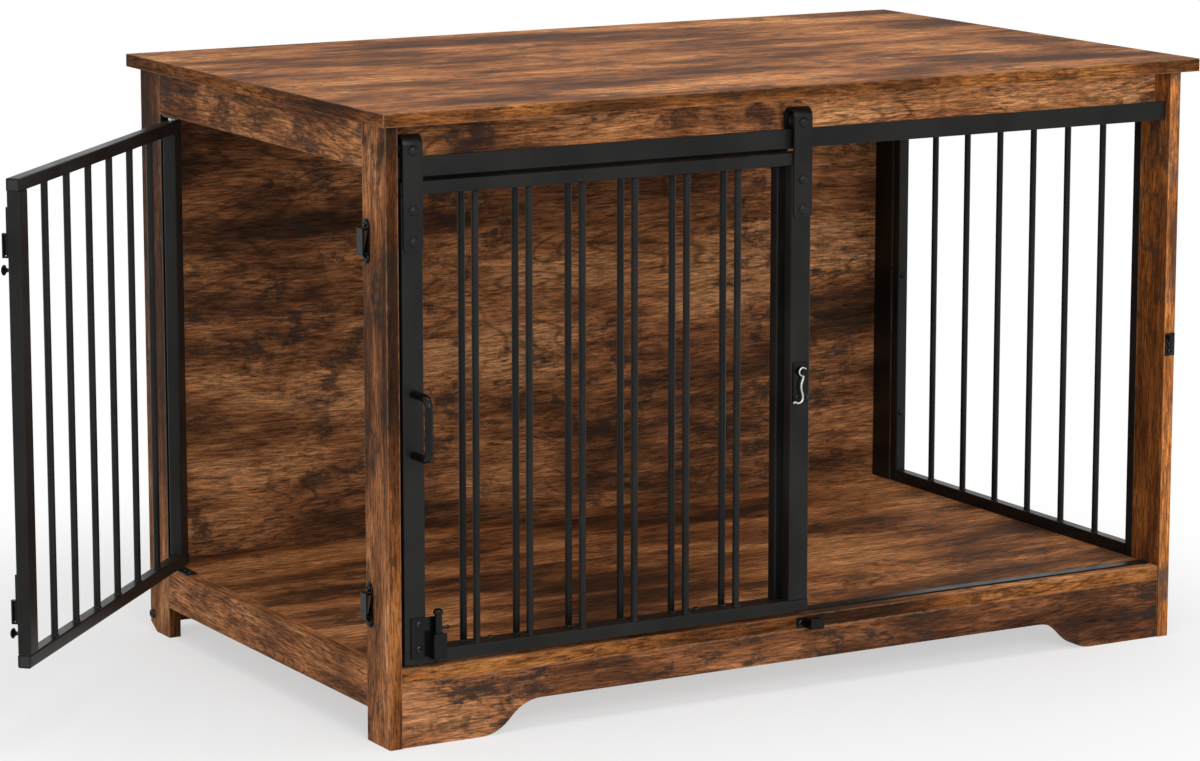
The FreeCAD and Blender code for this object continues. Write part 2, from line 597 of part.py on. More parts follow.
# Sliding door: welded frame and bars, plugs in the open tube ends
def barn_door():
    stile_height = f"{DOOR_TOP} - {DOOR_BOTTOM} - 2 * tube"
    stile_bottom = f"{DOOR_BOTTOM} + tube"
    piece("barn_door_frame",
          tube("x", DOOR_LEFT, "0", DOOR_BOTTOM, DOOR_WIDTH, "tube", "tube"),
          tube("x", DOOR_LEFT, "0", f"{DOOR_TOP} - tube", DOOR_WIDTH, "tube", "tube"),
          tube("z", DOOR_LEFT, "0", stile_bottom, "stile_width", "tube", stile_height),
          tube("z", f"{DOOR_RIGHT} - stile_width", "0", stile_bottom, "stile_width", "tube", stile_height))
    bars = []
    for i in range(BAR_COUNT):
        x = spread(STILE_EDGE, f"({DOOR_RIGHT} - stile_width)", BAR_COUNT, i)
        bars.append(rod("+z", x, "tube / 2", stile_bottom, "bar_radius", stile_height))
    piece("barn_door_bars", *bars)
    plugs = []
    for z in (DOOR_BOTTOM, f"{DOOR_TOP} - tube"):
        for x in (DOOR_LEFT, f"{DOOR_RIGHT} - plug_length"):
            plugs.append(box(x, "tube_wall + plug_play", f"{z} + tube_wall + plug_play", "plug_length",
                             "tube - 2 * (tube_wall + plug_play)", "tube - 2 * (tube_wall + plug_play)"))
    piece("barn_door_plugs", *plugs)


# Hanger straps bent over the rail, their rollers, axles and bolts
def hangers():
    bolts, spacers = [], []
    upper_bolt = f"({DOOR_TOP} - hanger_bolt_drop)"
    lower_bolt = f"({upper_bolt} - hanger_bolt_pitch)"
    strap_bottom = f"({lower_bolt} - hanger_end)"
    back_leg_bottom = f"({RAIL_LINE} + standoff_radius + strap_clearance)"
    roller_face = f"({RAIL_MIDDLE} - roller_width / 2)"
    for side, middle in (("left", LEFT_STILE_MIDDLE), ("right", RIGHT_STILE_MIDDLE)):
        node = f"{side}_hanger"
        edge = f"({middle} - hanger_width / 2)"
        front = "-hanger_thickness"
        straight = box(edge, front, f"{strap_bottom} + hanger_corner", "hanger_width", "hanger_thickness",
                       f"{BEND_HEIGHT} - {strap_bottom} - hanger_corner")
        toe = box(f"{edge} + hanger_corner", front, strap_bottom, "hanger_width - 2 * hanger_corner",
                  "hanger_thickness", "hanger_corner")
        corners = [rod("+y", x, front, f"{strap_bottom} + hanger_corner", "hanger_corner", "hanger_thickness")
                   for x in (f"{edge} + hanger_corner", f"{edge} + hanger_width - hanger_corner")]
        bend_radius = f"{RAIL_MIDDLE} + hanger_thickness"
        outside = rod("+x", edge, RAIL_MIDDLE, BEND_HEIGHT, bend_radius, "hanger_width")
        outside.Angle = 180
        outside.Placement.Rotation = Rotation(Vector(0, 1, 0), Vector(0, 0, 1), Vector(1, 0, 0), "XYZ")
        inside = rod("+x", f"{edge} - 1", RAIL_MIDDLE, BEND_HEIGHT, RAIL_MIDDLE, "hanger_width + 2")
        bend = cut(outside, [inside])
        back = box(edge, BACK_LEG, back_leg_bottom, "hanger_width", "hanger_thickness",
                   f"{BEND_HEIGHT} - {back_leg_bottom}")
        piece(node, fuse([straight, toe, bend, back] + corners))

        for z in (upper_bolt, lower_bolt):
            bolts.append(bolt("+y", middle, front, z, "(hanger_thickness + tube + bolt_head_height)",
                              [node, "barn_door_frame"]))
            bolts.append(ring("+y", middle, "tube", z, "bolt_head_radius", "bolt_head_height"))
        behind = f"({BACK_LEG} + hanger_thickness)"
        axle_length = f"({behind} + hanger_thickness + bolt_head_height)"
        bolts.append(bolt("+y", middle, front, AXLE_HEIGHT, axle_length, [node]))
        bolts.append(ring("+y", middle, behind, AXLE_HEIGHT, "bolt_head_radius", "bolt_head_height"))
        gap = f"({roller_face} - spacer_gap)"
        for y in ("0", f"{BACK_LEG} - {gap}"):
            spacers.append(ring("+y", middle, y, AXLE_HEIGHT, "spacer_radius", gap))

        rim = "((roller_width - rail_thickness) / 2 - groove_play)"
        bore = "(bolt_radius + pin_play)"
        flange = "(tread_radius + flange_depth)"
        profile = [(bore, "0"), (flange, "0"), (flange, rim), ("tread_radius", rim),
                   ("tread_radius", f"roller_width - {rim}"), (flange, f"roller_width - {rim}"),
                   (flange, "roller_width"), (bore, "roller_width")]
        body, sketch = outline_body(f"{side.capitalize()}Roller", "XY_Plane", profile)
        turned = body.newObject("PartDesign::Revolution", f"{side.capitalize()}RollerTurned")
        turned.Profile = sketch
        turned.ReferenceAxis = (sketch, ["V_Axis"])
        turned.Angle = 360
        piece(f"{side}_roller", put(body, middle, roller_face, AXLE_HEIGHT))
    piece("hanger_bolts", *bolts)
    piece("axle_spacers", *spacers)


# Bent-bar pull handle, screwed from behind through the left stile
def pull_handle():
    x = LEFT_STILE_MIDDLE
    upper = f"({HANDLE_HEIGHT} + handle_span / 2)"
    lower = f"({HANDLE_HEIGHT} - handle_span / 2)"
    bend_y = "-(handle_reach - handle_corner)"
    leg_length = "handle_reach - handle_corner"
    members = [rod("-y", x, "0", upper, "handle_radius", leg_length),
               rod("-y", x, "0", lower, "handle_radius", leg_length),
               rod("+z", x, "-handle_reach", f"{lower} + handle_corner", "handle_radius",
                   "handle_span - 2 * handle_corner")]
    for z, first, second in ((f"{upper} - handle_corner", Vector(0, 0, 1), Vector(0, -1, 0)),
                             (f"{lower} + handle_corner", Vector(0, -1, 0), Vector(0, 0, -1))):
        bend = doc.addObject("Part::Torus", "HandleBend")
        bind(bend, "Radius1", "handle_corner")
        bind(bend, "Radius2", "handle_radius")
        bend.Angle3 = 90
        bend.Placement.Rotation = Rotation(first, second, first.cross(second), "XYZ")
        members.append(put(bend, x, bend_y, z))
    piece("pull_handle", fuse(members))
    return [screw("-y", x, "tube", z, ["barn_door_frame", "pull_handle"], "(tube + handle_bite)")
            for z in (upper, lower)]


# Floor bolt: a rod in a slotted guide block, dropping into a keeper on the floor panel's edge
def floor_bolt():
    plate_left = f"({STILE_EDGE} - housing_plate_side)"
    plate_width = "(housing_plate_side + bolt_offset + housing_width / 2)"
    block_depth = "(2 * (bolt_stand - sheet))"
    plate = box(plate_left, "-sheet", HOUSING_BOTTOM, plate_width, "sheet", "housing_plate_height")
    block = box(f"{DROP_X} - housing_width / 2", f"-sheet - {block_depth}", HOUSING_BOTTOM,
                "housing_width", block_depth, "housing_height")
    bore = rod("+z", DROP_X, "-bolt_stand", f"{HOUSING_BOTTOM} - 1", "drop_radius + pin_play",
               "housing_height + 2")
    slot_radius = "(drop_handle_radius + floor_keeper_play)"
    slot_bottom = f"({DROP_TIP} + drop_handle_height - drop_travel - {slot_radius})"
    slot = box(DROP_X, f"-bolt_stand - {slot_radius}", slot_bottom, "housing_width", f"2 * {slot_radius}",
               "housing_height + drop_travel")
    piece("floor_bolt_housing", cut(fuse([plate, block]), [bore, slot]))
    drop_length = "(drop_handle_height + drop_cap_rise)"
    shank = rod("+z", DROP_X, "-bolt_stand", DROP_TIP, "drop_radius", drop_length)
    cap = rod("+z", DROP_X, "-bolt_stand", f"{DROP_TIP} + {drop_length}", "bolt_stand - sheet - drop_cap_gap",
              "drop_cap_height")
    side_pin = rod("+x", DROP_X, "-bolt_stand", f"{DROP_TIP} + drop_handle_height",
                   "drop_handle_radius", "drop_handle_length")
    piece("floor_bolt", fuse([shank, cap, side_pin]))

    keeper_x = f"({DROP_X} + {DOOR_TRAVEL})"
    keeper_bottom = "(floor_top - floor_keeper_drop - floor_keeper_height)"
    flange = box(f"{keeper_x} - floor_keeper_width / 2 - floor_keeper_tab", "front_setback - sheet",
                 keeper_bottom, "floor_keeper_width + 2 * floor_keeper_tab", "sheet", "floor_keeper_height")
    reach = "(front_setback + bolt_stand + drop_radius + floor_keeper_play + sheet)"
    socket = box(f"{keeper_x} - floor_keeper_width / 2", f"front_setback - {reach}", keeper_bottom,
                 "floor_keeper_width", reach, "floor_keeper_height")
    mouth = rod("+z", keeper_x, "-bolt_stand", f"{keeper_bottom} - 1", "drop_radius + floor_keeper_play",
                "floor_keeper_height + 2")
    piece("floor_keeper", cut(fuse([flange, socket]), [mouth]))
    tab_middle = "(floor_keeper_width + floor_keeper_tab) / 2"
    keeper_screws = [screw("+y", f"{keeper_x} {sign} {tab_middle}", "front_setback - sheet",
                           f"{keeper_bottom} + floor_keeper_height / 2", ["floor_keeper", "floor_panel"])
                     for sign in ("-", "+")]
    plate_screw_x = f"{plate_left} + housing_plate_side / 2"
    housing_screws = []
    for share in (0.25, 0.85):
        z = f"{HOUSING_BOTTOM} + housing_plate_height * {share}"
        housing_screws.append(screw("+y", plate_screw_x, "-sheet", z,
                                    ["floor_bolt_housing", "barn_door_frame"]))
    return keeper_screws, housing_screws


# Swing hook on the right stile, hanging at rest, and its studded catch on the right post
def swing_hook():
    x = RIGHT_STILE_MIDDLE
    plate_bottom = f"({HOOK_HEIGHT} + hook_plate_rise - hook_plate_height)"
    plate = box(f"{x} - hook_plate_width / 2", "-sheet", plate_bottom, "hook_plate_width", "sheet",
                "hook_plate_height")
    pivot = rod("-y", x, "-sheet", HOOK_HEIGHT, "stud_radius", "hook_thickness + 2 * hook_gap")
    pivot_head = rod("-y", x, "-sheet - hook_thickness - 2 * hook_gap", HOOK_HEIGHT, "screw_head_radius",
                     "sheet")
    piece("hook_base", fuse([plate, pivot, pivot_head]))
    hub = rod("-y", x, HOOK_Y, HOOK_HEIGHT, "hook_hub_radius", "hook_thickness")
    hook_tip = f"({HOOK_HEIGHT} - {HOOK_LENGTH})"
    hook_front = f"({HOOK_Y} - hook_thickness)"
    arm = box(f"{x} - hook_width / 2", hook_front, hook_tip, "hook_width", "hook_thickness", HOOK_LENGTH)
    lip = box(f"{x} - hook_width / 2 - hook_lip", hook_front, hook_tip, "hook_lip", "hook_thickness",
              "hook_width")
    eye = rod("-y", x, HOOK_Y, HOOK_HEIGHT, "stud_radius + pin_play", "hook_thickness")
    piece("swing_hook", cut(fuse([hub, arm, lip]), [eye]))

    stud_z = f"({HOOK_HEIGHT} - hook_width / 2 - stud_play - stud_radius)"
    catch_bottom = f"({stud_z} + stud_radius + sheet - catch_height)"
    catch = box(f"{INNER} + 1", "-sheet", catch_bottom, "board - 2", "sheet", "catch_height")
    stud = rod("-y", STUD_X, "-sheet", stud_z, "stud_radius", "hook_thickness + 2 * hook_gap")
    piece("hook_catch", fuse([catch, stud]))
    catch_screws = [screw("+y", f"{INNER} + board / 2", "-sheet",
                          f"{catch_bottom} + (sheet + 2 * screw_head_radius) * {steps}",
                          ["hook_catch", "front_right_post"]) for steps in (0.5, 1.4)]
    base_screw_height = f"{plate_bottom} + sheet + screw_head_radius"
    base_screws = [screw("+y", f"{x} {sign} hook_plate_width / 4", "-sheet", base_screw_height,
                         ["hook_base", "barn_door_frame"]) for sign in ("-", "+")]
    return catch_screws, base_screws


# Side door, drawn closed: frame, bars and plugs
def side_door():
    height = f"({SIDE_TOP} - {DOOR_BOTTOM})"
    stile_bottom = f"{DOOR_BOTTOM} + tube"
    stile_height = f"{height} - 2 * tube"
    piece("side_door_frame",
          tube("y", f"-{SIDE}", SIDE_FREE, DOOR_BOTTOM, "tube", SIDE_WIDTH, "tube"),
          tube("y", f"-{SIDE}", SIDE_FREE, f"{SIDE_TOP} - tube", "tube", SIDE_WIDTH, "tube"),
          tube("z", f"-{SIDE}", SIDE_FREE, stile_bottom, "tube", "side_stile_width", stile_height),
          tube("z", f"-{SIDE}", f"{SIDE_HINGED} - side_stile_width", stile_bottom, "tube", "side_stile_width",
               stile_height),
          on_side_door=True)
    bars = []
    for i in range(BAR_COUNT):
        y = spread(f"({SIDE_FREE} + side_stile_width)", f"({SIDE_HINGED} - side_stile_width)", BAR_COUNT, i)
        bars.append(rod("+z", f"-{SIDE} + tube / 2", y, stile_bottom, "bar_radius", stile_height))
    piece("side_door_bars", *bars, on_side_door=True)
    plugs = []
    inside = "tube - 2 * (tube_wall + plug_play)"
    for z in (DOOR_BOTTOM, f"{SIDE_TOP} - tube"):
        plugs.append(box(f"-{SIDE} + tube_wall + plug_play", SIDE_FREE, f"{z} + tube_wall + plug_play",
                         inside, "plug_length", inside))
    piece("side_door_plugs", *plugs, on_side_door=True)


# Pivot pins on brackets above and below the side door, and the steel strip on the post beside it
def side_pivots():
    pins, brackets, screws = [], [], []
    bracket_start = f"{PIVOT_Y} - bracket_front"
    for axis, seat, board_node in (("-z", UPPER_RAIL_BOTTOM, "left_upper_rail"),
                                   ("+z", "floor_top", "left_lower_rail")):
        way = axis[0]
        face = f"({seat} {way} sheet)"
        low = face if axis == "-z" else seat
        brackets.append(box(f"-{SIDE}", bracket_start, low, "tube", "bracket_front + bracket_rear", "sheet"))
        pins.append(rod(axis, PIVOT_X, PIVOT_Y, face, "pivot_radius", "pivot_reach"))
        drill(["side_door_frame"], axis, PIVOT_X, PIVOT_Y, face, "pivot_radius", "pivot_reach + 1")
        into = OPPOSITE[way] + "z"
        for further in ("0", "bracket_screw_pitch"):
            y = f"{PIVOT_Y} - bracket_screw_start - {further}"
            screws.append(screw(into, PIVOT_X, y, face, ["pivot_brackets", board_node],
                                head_height="door_clearance / 4"))
    washer = rod("+z", PIVOT_X, PIVOT_Y, "floor_top + sheet", "washer_radius", "door_clearance - sheet")
    bore = rod("+z", PIVOT_X, PIVOT_Y, "floor_top + sheet", "pivot_radius + pin_play",
               "door_clearance - sheet")
    piece("pivot_brackets", *brackets)
    piece("pivot_pins", *pins)
    piece("pivot_washers", cut(washer, [bore]))
    piece("pivot_screws", *screws)
    piece("side_door_jamb", box(f"-{SIDE}", f"{BACK_POST} - sheet", "floor_top", "board", "sheet",
                                f"{UPPER_RAIL_BOTTOM} - floor_top"))


# Latches of the side door: a plate with a guide strap, a flat slide with a knob, a bridge keeper on the post
def side_latches():
    plates, plate_screws, keepers, keeper_screws = [], [], [], []
    plate_width = "(side_stile_width - 2 * latch_plate_margin)"
    plate_rise = "(latch_screw_rise + latch_screw_pitch + latch_plate_end)"
    guide_half = "(tongue_height / 2 + tongue_play)"
    for level, middle in (("upper", f"({SIDE_TOP} - upper_latch_drop)"),
                          ("lower", f"({DOOR_BOTTOM} + lower_latch_rise)")):
        plate_bottom = f"({middle} - {guide_half} - sheet)"
        plate = box(LATCH_SKIN, PLATE_START, plate_bottom, "sheet", plate_width,
                    f"{middle} + {plate_rise} - {plate_bottom}")
        bridge = box(f"{GUIDE_SKIN} - sheet", PLATE_START, plate_bottom, "sheet", "guide_length",
                     f"2 * ({guide_half} + sheet)")
        legs = [box(f"{GUIDE_SKIN} - sheet", PLATE_START, z, f"{LATCH_SKIN} - {GUIDE_SKIN} + sheet",
                    "guide_length", "sheet") for z in (plate_bottom, f"{middle} + {guide_half}")]
        plates.append(fuse([plate, bridge] + legs))
        for further in ("0", "latch_screw_pitch"):
            plate_screws.append(screw("+x", LATCH_SKIN, f"{PLATE_START} + {plate_width} / 2",
                                      f"{middle} + latch_screw_rise + {further}",
                                      ["latch_plates", "side_door_frame"]))

        tip = f"({SIDE_FREE} + tongue_inset)"
        tail_start = f"({PLATE_START} + guide_length + tail_gap + slide_travel)"
        tongue_length = f"({tail_start} + tail_width - {tip})"
        tail_bottom = f"({middle} - tongue_height / 2 - tail_length)"
        tongue = box(TONGUE_OUT, tip, f"{middle} - tongue_height / 2", "tongue_thickness", tongue_length,
                     "tongue_height")
        tail = box(TONGUE_OUT, tail_start, tail_bottom, "tongue_thickness", "tail_width", "tail_length")
        knob_y = f"{tail_start} + tail_width / 2"
        knob_z = f"{tail_bottom} + knob_end"
        stem = rod("-x", TONGUE_OUT, knob_y, knob_z, "knob_stem_radius", "knob_stem_length")
        knob = rod("-x", f"{TONGUE_OUT} - knob_stem_length", knob_y, knob_z, "knob_radius", "knob_length")
        piece(f"{level}_latch_slide", fuse([tongue, tail, stem, knob]), on_side_door=True)

        keeper_y = "(post_width - keeper_inset - keeper_length)"
        outer = f"(-{SIDE} - keeper_stand - sheet)"
        members = [box(outer, keeper_y, f"{middle} - {KEEPER_HALF} - sheet", "sheet", "keeper_length",
                       f"2 * ({KEEPER_HALF} + sheet)")]
        low_leg = f"{middle} - {KEEPER_HALF} - sheet"
        high_leg = f"{middle} + {KEEPER_HALF}"
        flat = "(keeper_tab - keeper_length / 2)"
        for sign, leg_z, tab_z in (("-", low_leg, f"{low_leg} - {flat}"), ("+", high_leg, high_leg)):
            members.append(box(outer, keeper_y, leg_z, "keeper_stand + sheet", "keeper_length", "sheet"))
            members.append(box(LATCH_SKIN, keeper_y, tab_z, "sheet", "keeper_length", f"sheet + {flat}"))
            round_z = f"{middle} {sign} ({KEEPER_HALF} + sheet + {flat})"
            members.append(rod("+x", LATCH_SKIN, f"{keeper_y} + keeper_length / 2", round_z,
                               "keeper_length / 2", "sheet"))
        members.append(box(LATCH_SKIN, keeper_y, low_leg, "sheet", "keeper_rim",
                           f"2 * ({KEEPER_HALF} + sheet)"))
        keepers.append(fuse(members))
        for sign in ("-", "+"):
            z = f"{middle} {sign} ({KEEPER_HALF} + sheet + keeper_tab / 2)"
            keeper_screws.append(screw("+x", LATCH_SKIN, f"{keeper_y} + keeper_length / 2", z,
                                       ["side_door_keepers", "front_left_post"]))
    piece("latch_plates", *plates, on_side_door=True)
    piece("latch_screws", *plate_screws, on_side_door=True)
    piece("side_door_keepers", *keepers)
    return keeper_screws


def assemble():
    """Each sub-part as one object of the document: drilled, shifted to the base centre, side door turned."""
    nodes = []
    for label, members, on_side_door in pieces:
        if label in holes:
            members = [cut(member, holes[label]) for member in members]
        node = doc.addObject("Part::Compound", label)
        node.Label = label
        node.Links = members
        if on_side_door:
            node.Placement.Rotation = Rotation(Vector(0, 0, 1), 0)
            bind(node, "Placement.Rotation.Angle", "-side_open_angle * 1 deg")
            put(node, f"{SHIFT_X} + {PIVOT_X} - ({PIVOT_X} * {OPEN_COSINE} + {PIVOT_Y} * {OPEN_SINE})",
                f"{SHIFT_Y} + {PIVOT_Y} - ({PIVOT_Y} * {OPEN_COSINE} - {PIVOT_X} * {OPEN_SINE})", "0")
        else:
            put(node, SHIFT_X, SHIFT_Y, "0")
        nodes.append(node)
    doc.recompute()
    return nodes


def check(nodes):
    for thing in doc.Objects:
        if "Invalid" in thing.State or "Error" in thing.State:
            raise RuntimeError(f"{thing.Label} failed to recompute: {thing.State}")
    for node in nodes:
        if node.Shape.isNull() or not node.Shape.isValid() or not node.Shape.Solids:
            raise RuntimeError(f"{node.Label} has no sound shape")


boards()
apron()
joinery()
fixed_grilles()
track()
barn_door()
hangers()
handle_screws = pull_handle()
floor_keeper_screws, housing_screws = floor_bolt()
catch_screws, base_screws = swing_hook()
side_door()
side_pivots()
latch_keeper_screws = side_latches()
piece("barn_door_screws", *handle_screws, *housing_screws, *base_screws)
piece("keeper_screws", *latch_keeper_screws, *floor_keeper_screws, *catch_screws)

nodes = assemble()
check(nodes)
os.makedirs("parts", exist_ok=True)
for node in nodes:
    node.Shape.exportStep(os.path.join("parts", node.Label + ".step"))
print(len(nodes), "sub-parts written")
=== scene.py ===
# %% [markdown]
# # A pet crate that is also a side table
# This lesson dresses a crate of printed boards and black steel: a table top, four posts, a barn door on a
# rail and a hinged side door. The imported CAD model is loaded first. It is a fixed frame: its pieces keep their
# places and meshes, and everything below adds finishes, rounded edges and finer hardware to it.

# %% Load the frame
import json
import math

import bmesh
import bpy
from mathutils import Matrix, Vector

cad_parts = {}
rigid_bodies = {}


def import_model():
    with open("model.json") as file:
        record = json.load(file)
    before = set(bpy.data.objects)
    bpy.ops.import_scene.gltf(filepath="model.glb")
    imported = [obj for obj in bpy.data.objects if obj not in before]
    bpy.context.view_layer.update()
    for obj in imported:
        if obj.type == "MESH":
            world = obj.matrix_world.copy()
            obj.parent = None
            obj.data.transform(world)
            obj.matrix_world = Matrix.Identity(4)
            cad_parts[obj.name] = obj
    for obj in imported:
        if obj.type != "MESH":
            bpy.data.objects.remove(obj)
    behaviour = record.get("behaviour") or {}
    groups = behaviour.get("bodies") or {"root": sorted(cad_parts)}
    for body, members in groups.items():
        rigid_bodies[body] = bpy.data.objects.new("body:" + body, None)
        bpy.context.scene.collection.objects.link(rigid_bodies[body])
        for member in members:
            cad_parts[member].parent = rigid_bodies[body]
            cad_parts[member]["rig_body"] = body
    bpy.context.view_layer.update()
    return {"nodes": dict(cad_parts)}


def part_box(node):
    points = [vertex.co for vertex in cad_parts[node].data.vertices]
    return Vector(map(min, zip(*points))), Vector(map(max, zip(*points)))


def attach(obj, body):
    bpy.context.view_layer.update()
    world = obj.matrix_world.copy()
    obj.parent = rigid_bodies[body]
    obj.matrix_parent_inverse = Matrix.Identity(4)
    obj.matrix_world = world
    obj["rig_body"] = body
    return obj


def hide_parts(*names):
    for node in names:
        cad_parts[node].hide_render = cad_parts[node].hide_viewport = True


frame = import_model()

nodes = frame["nodes"]
scene = bpy.context.scene

# %% [markdown]
# ## The camera
# A catalogue picture like this one is taken from a few metres away with a long lens, so the far edges of the
# table top shrink very little. A camera matrix is built from three directions: to the right, up, and backwards
# out of the picture. The crate's own zero is the front edge of its posts at mid-width, and CRATE is where that
# point lies in the frame.

# %% Camera
CRATE = Vector((0.171646, -0.30925, 0.0))
VIEW_FROM, VIEW_YAW, VIEW_PITCH = CRATE + Vector((-2.6005, -4.0873, 1.2687)), 29.7425, -10.58


def aim(place, yaw, pitch):
    """Matrix of a camera at a place, turned yaw degrees to the right of +Y and pitch degrees up."""
    yaw, pitch = math.radians(yaw), math.radians(pitch)
    forward = Vector((math.sin(yaw) * math.cos(pitch), math.cos(yaw) * math.cos(pitch), math.sin(pitch)))
    right = Vector((math.cos(yaw), -math.sin(yaw), 0.0))
    up = right.cross(forward)
    turn = Matrix((right, up, -forward)).transposed()
    return Matrix.Translation(place) @ turn.to_4x4()


lens = bpy.data.cameras.new("catalogue_lens")
lens.sensor_width = 36.0
lens.lens = 129.3
camera = bpy.data.objects.new("catalogue_camera", lens)
scene.collection.objects.link(camera)
camera.matrix_world = aim(VIEW_FROM, VIEW_YAW, VIEW_PITCH)
scene.camera = camera
print("camera", tuple(round(c, 3) for c in camera.location), "lens", lens.lens)

# %% [markdown]
# ## Building shader networks
# Every finish below is a network of nodes. Six small helpers keep the code readable: feed fills one socket, add makes
# a node and fills its sockets, sum_of does arithmetic on values, mixed mixes two colours, step turns a value into a
# soft step, and new_group starts a group that several materials can share. A socket that is handed another socket
# gets a link, and anything else becomes its plain value.

# %% Shader helpers
def feed(tree, socket, given):
    """Links a socket to another one, or sets its value."""
    if isinstance(given, bpy.types.NodeSocket):
        tree.links.new(given, socket)
    else:
        socket.default_value = given


def add(tree, kind, settings=None, **sockets):
    """Adds a node; sockets are named with _ for a space."""
    made = tree.nodes.new("ShaderNode" + kind)
    for name, given in (settings or {}).items():
        setattr(made, name, given)
    for name, given in sockets.items():
        feed(tree, made.inputs[name.replace("_", " ")], given)
    return made


def sum_of(tree, operation, *values):
    """One step of arithmetic on values."""
    made = add(tree, "Math", {"operation": operation})
    for socket, given in zip(made.inputs, values):
        feed(tree, socket, given)
    return made.outputs[0]


def mixed(tree, share, first, second, way="MIX"):
    """Two colours mixed, or the first multiplied by the second."""
    made = add(tree, "Mix", {"data_type": "RGBA", "blend_type": way})
    for index, given in ((0, share), (6, first), (7, second)):
        feed(tree, made.inputs[index], given)
    return made.outputs[2]


def step(tree, given, low, high, to_low=0.0, to_high=1.0):
    """A soft step from one level of a value to another."""
    made = add(tree, "MapRange", {"interpolation_type": "SMOOTHSTEP"}, Value=given)
    for name, level in (("From Min", low), ("From Max", high), ("To Min", to_low), ("To Max", to_high)):
        made.inputs[name].default_value = level
    return made.outputs[0]


def new_group(name, inputs, outputs):
    """An empty node group with named sockets."""
    group = bpy.data.node_groups.new(name, "ShaderNodeTree")
    for label, kind in inputs:
        group.interface.new_socket(name=label, in_out="INPUT", socket_type="NodeSocket" + kind)
    for label, kind in outputs:
        group.interface.new_socket(name=label, in_out="OUTPUT", socket_type="NodeSocket" + kind)
    return group, group.nodes.new("NodeGroupInput").outputs, group.nodes.new("NodeGroupOutput").inputs


print("helpers ready")

# %% [markdown]
# ## The rustic print
# The boards are chipboard wrapped in paper that is printed like old timber: a brown ground that drifts from
# orange to plum, long fibres, curved growth lines, short dark pores and flecks, and charred smudges. A photograph
# of wood would need an image, so the print is built from noise that is stretched along the grain. The ground comes
# first: a ramp of browns, and a slow drift that keeps the fibres from running dead straight.

# %% Stretched noise and the ground
GROUND_TONES = ((0.0, (0.050, 0.022, 0.011, 1)), (0.25, (0.135, 0.054, 0.022, 1)), (0.5, (0.265, 0.108, 0.042, 1)),
                (0.75, (0.400, 0.172, 0.067, 1)), (1.0, (0.54, 0.262, 0.112, 1)))


def stretched(tree, place, along, across, detail, roughness=0.55):
    """Noise that is long along X and narrow across it, with its sizes as repeats per metre."""
    scaled = add(tree, "VectorMath", {"operation": "MULTIPLY"})
    feed(tree, scaled.inputs[0], place)
    scaled.inputs[1].default_value = (along, across, across)
    return add(tree, "TexNoise", None, Vector=scaled.outputs[0], Scale=1.0, Detail=detail, Roughness=roughness)


def print_ground(tree, level):
    """The drifting brown ground of the print, from charred brown to orange tan."""
    ground = add(tree, "ValToRGB", None, Fac=level)
    stops = ground.color_ramp.elements
    for i, (position, tone) in enumerate(GROUND_TONES):
        stop = stops[i] if i < 2 else stops.new(position)
        stop.position, stop.color = position, tone
    return ground.outputs[0]


def wandering(tree, vector):
    """The place on the print, pushed about a little so that no fibre runs dead straight."""
    drift = stretched(tree, vector, 1.6, 7.0, 2.0)
    centred = add(tree, "VectorMath", {"operation": "SUBTRACT"})
    feed(tree, centred.inputs[0], drift.outputs["Color"])
    centred.inputs[1].default_value = (0.5, 0.5, 0.5)
    wander = add(tree, "VectorMath", {"operation": "MULTIPLY_ADD"})
    feed(tree, wander.inputs[0], centred.outputs[0])
    wander.inputs[1].default_value = (0.02, 0.05, 0.05)
    feed(tree, wander.inputs[2], vector)
    return wander.outputs[0]


print("ground tones:", len(GROUND_TONES))

# %% [markdown]
# The dark marks are masks: each is a noise that is cut off by a soft step. The growth lines are the contour lines of
# one smooth stretched noise, which gives the pointed arches that sawn timber shows. Flecks and blots keep to patches,
# so each is multiplied by a second, slower noise. INKS gives the strength and colour in which each mask is printed.

# %% Dark marks
INKS = {"streaks": (0.42, (0.050, 0.023, 0.014, 1)), "lines": (0.55, (0.048, 0.021, 0.012, 1)),
        "pores": (0.45, (0.030, 0.014, 0.009, 1)), "flecks": (0.74, (0.036, 0.018, 0.012, 1)),
        "blots": (0.90, (0.032, 0.023, 0.019, 1))}


def marks(tree, vector, place, smudges):
    """The masks of growth lines, streaks, pores, flecks and charred blots."""
    hills = stretched(tree, place, 1.9, 12.0, 1.0).outputs[0]
    contour = sum_of(tree, "PINGPONG", sum_of(tree, "MULTIPLY", hills, 21.0), 0.5)
    line_area = step(tree, stretched(tree, place, 4.0, 9.0, 1.0).outputs[0], 0.40, 0.58)
    lines = sum_of(tree, "MULTIPLY", step(tree, contour, 0.02, 0.14, 1.0, 0.0), line_area)
    streaks = step(tree, stretched(tree, place, 4.0, 80.0, 5.0, 0.70).outputs[0], 0.58, 0.66)
    pores = step(tree, stretched(tree, place, 55.0, 900.0, 2.0).outputs[0], 0.60, 0.70)
    flecks = step(tree, stretched(tree, place, 44.0, 290.0, 5.0, 0.76).outputs[0], 0.53, 0.61)
    fleck_area = step(tree, stretched(tree, vector, 8.0, 14.0, 2.0).outputs[0], 0.36, 0.60)
    blot = step(tree, stretched(tree, place, 22.0, 36.0, 6.0, 0.72).outputs[0], 0.49, 0.61)
    blot_area = step(tree, stretched(tree, vector, 6.0, 9.0, 1.0).outputs[0], 0.42, 0.54)
    flecks = sum_of(tree, "MULTIPLY", flecks, fleck_area)
    blots = sum_of(tree, "MULTIPLY", sum_of(tree, "MULTIPLY", blot, blot_area), smudges)
    return {"lines": lines, "streaks": streaks, "pores": pores, "flecks": flecks, "blots": blots}


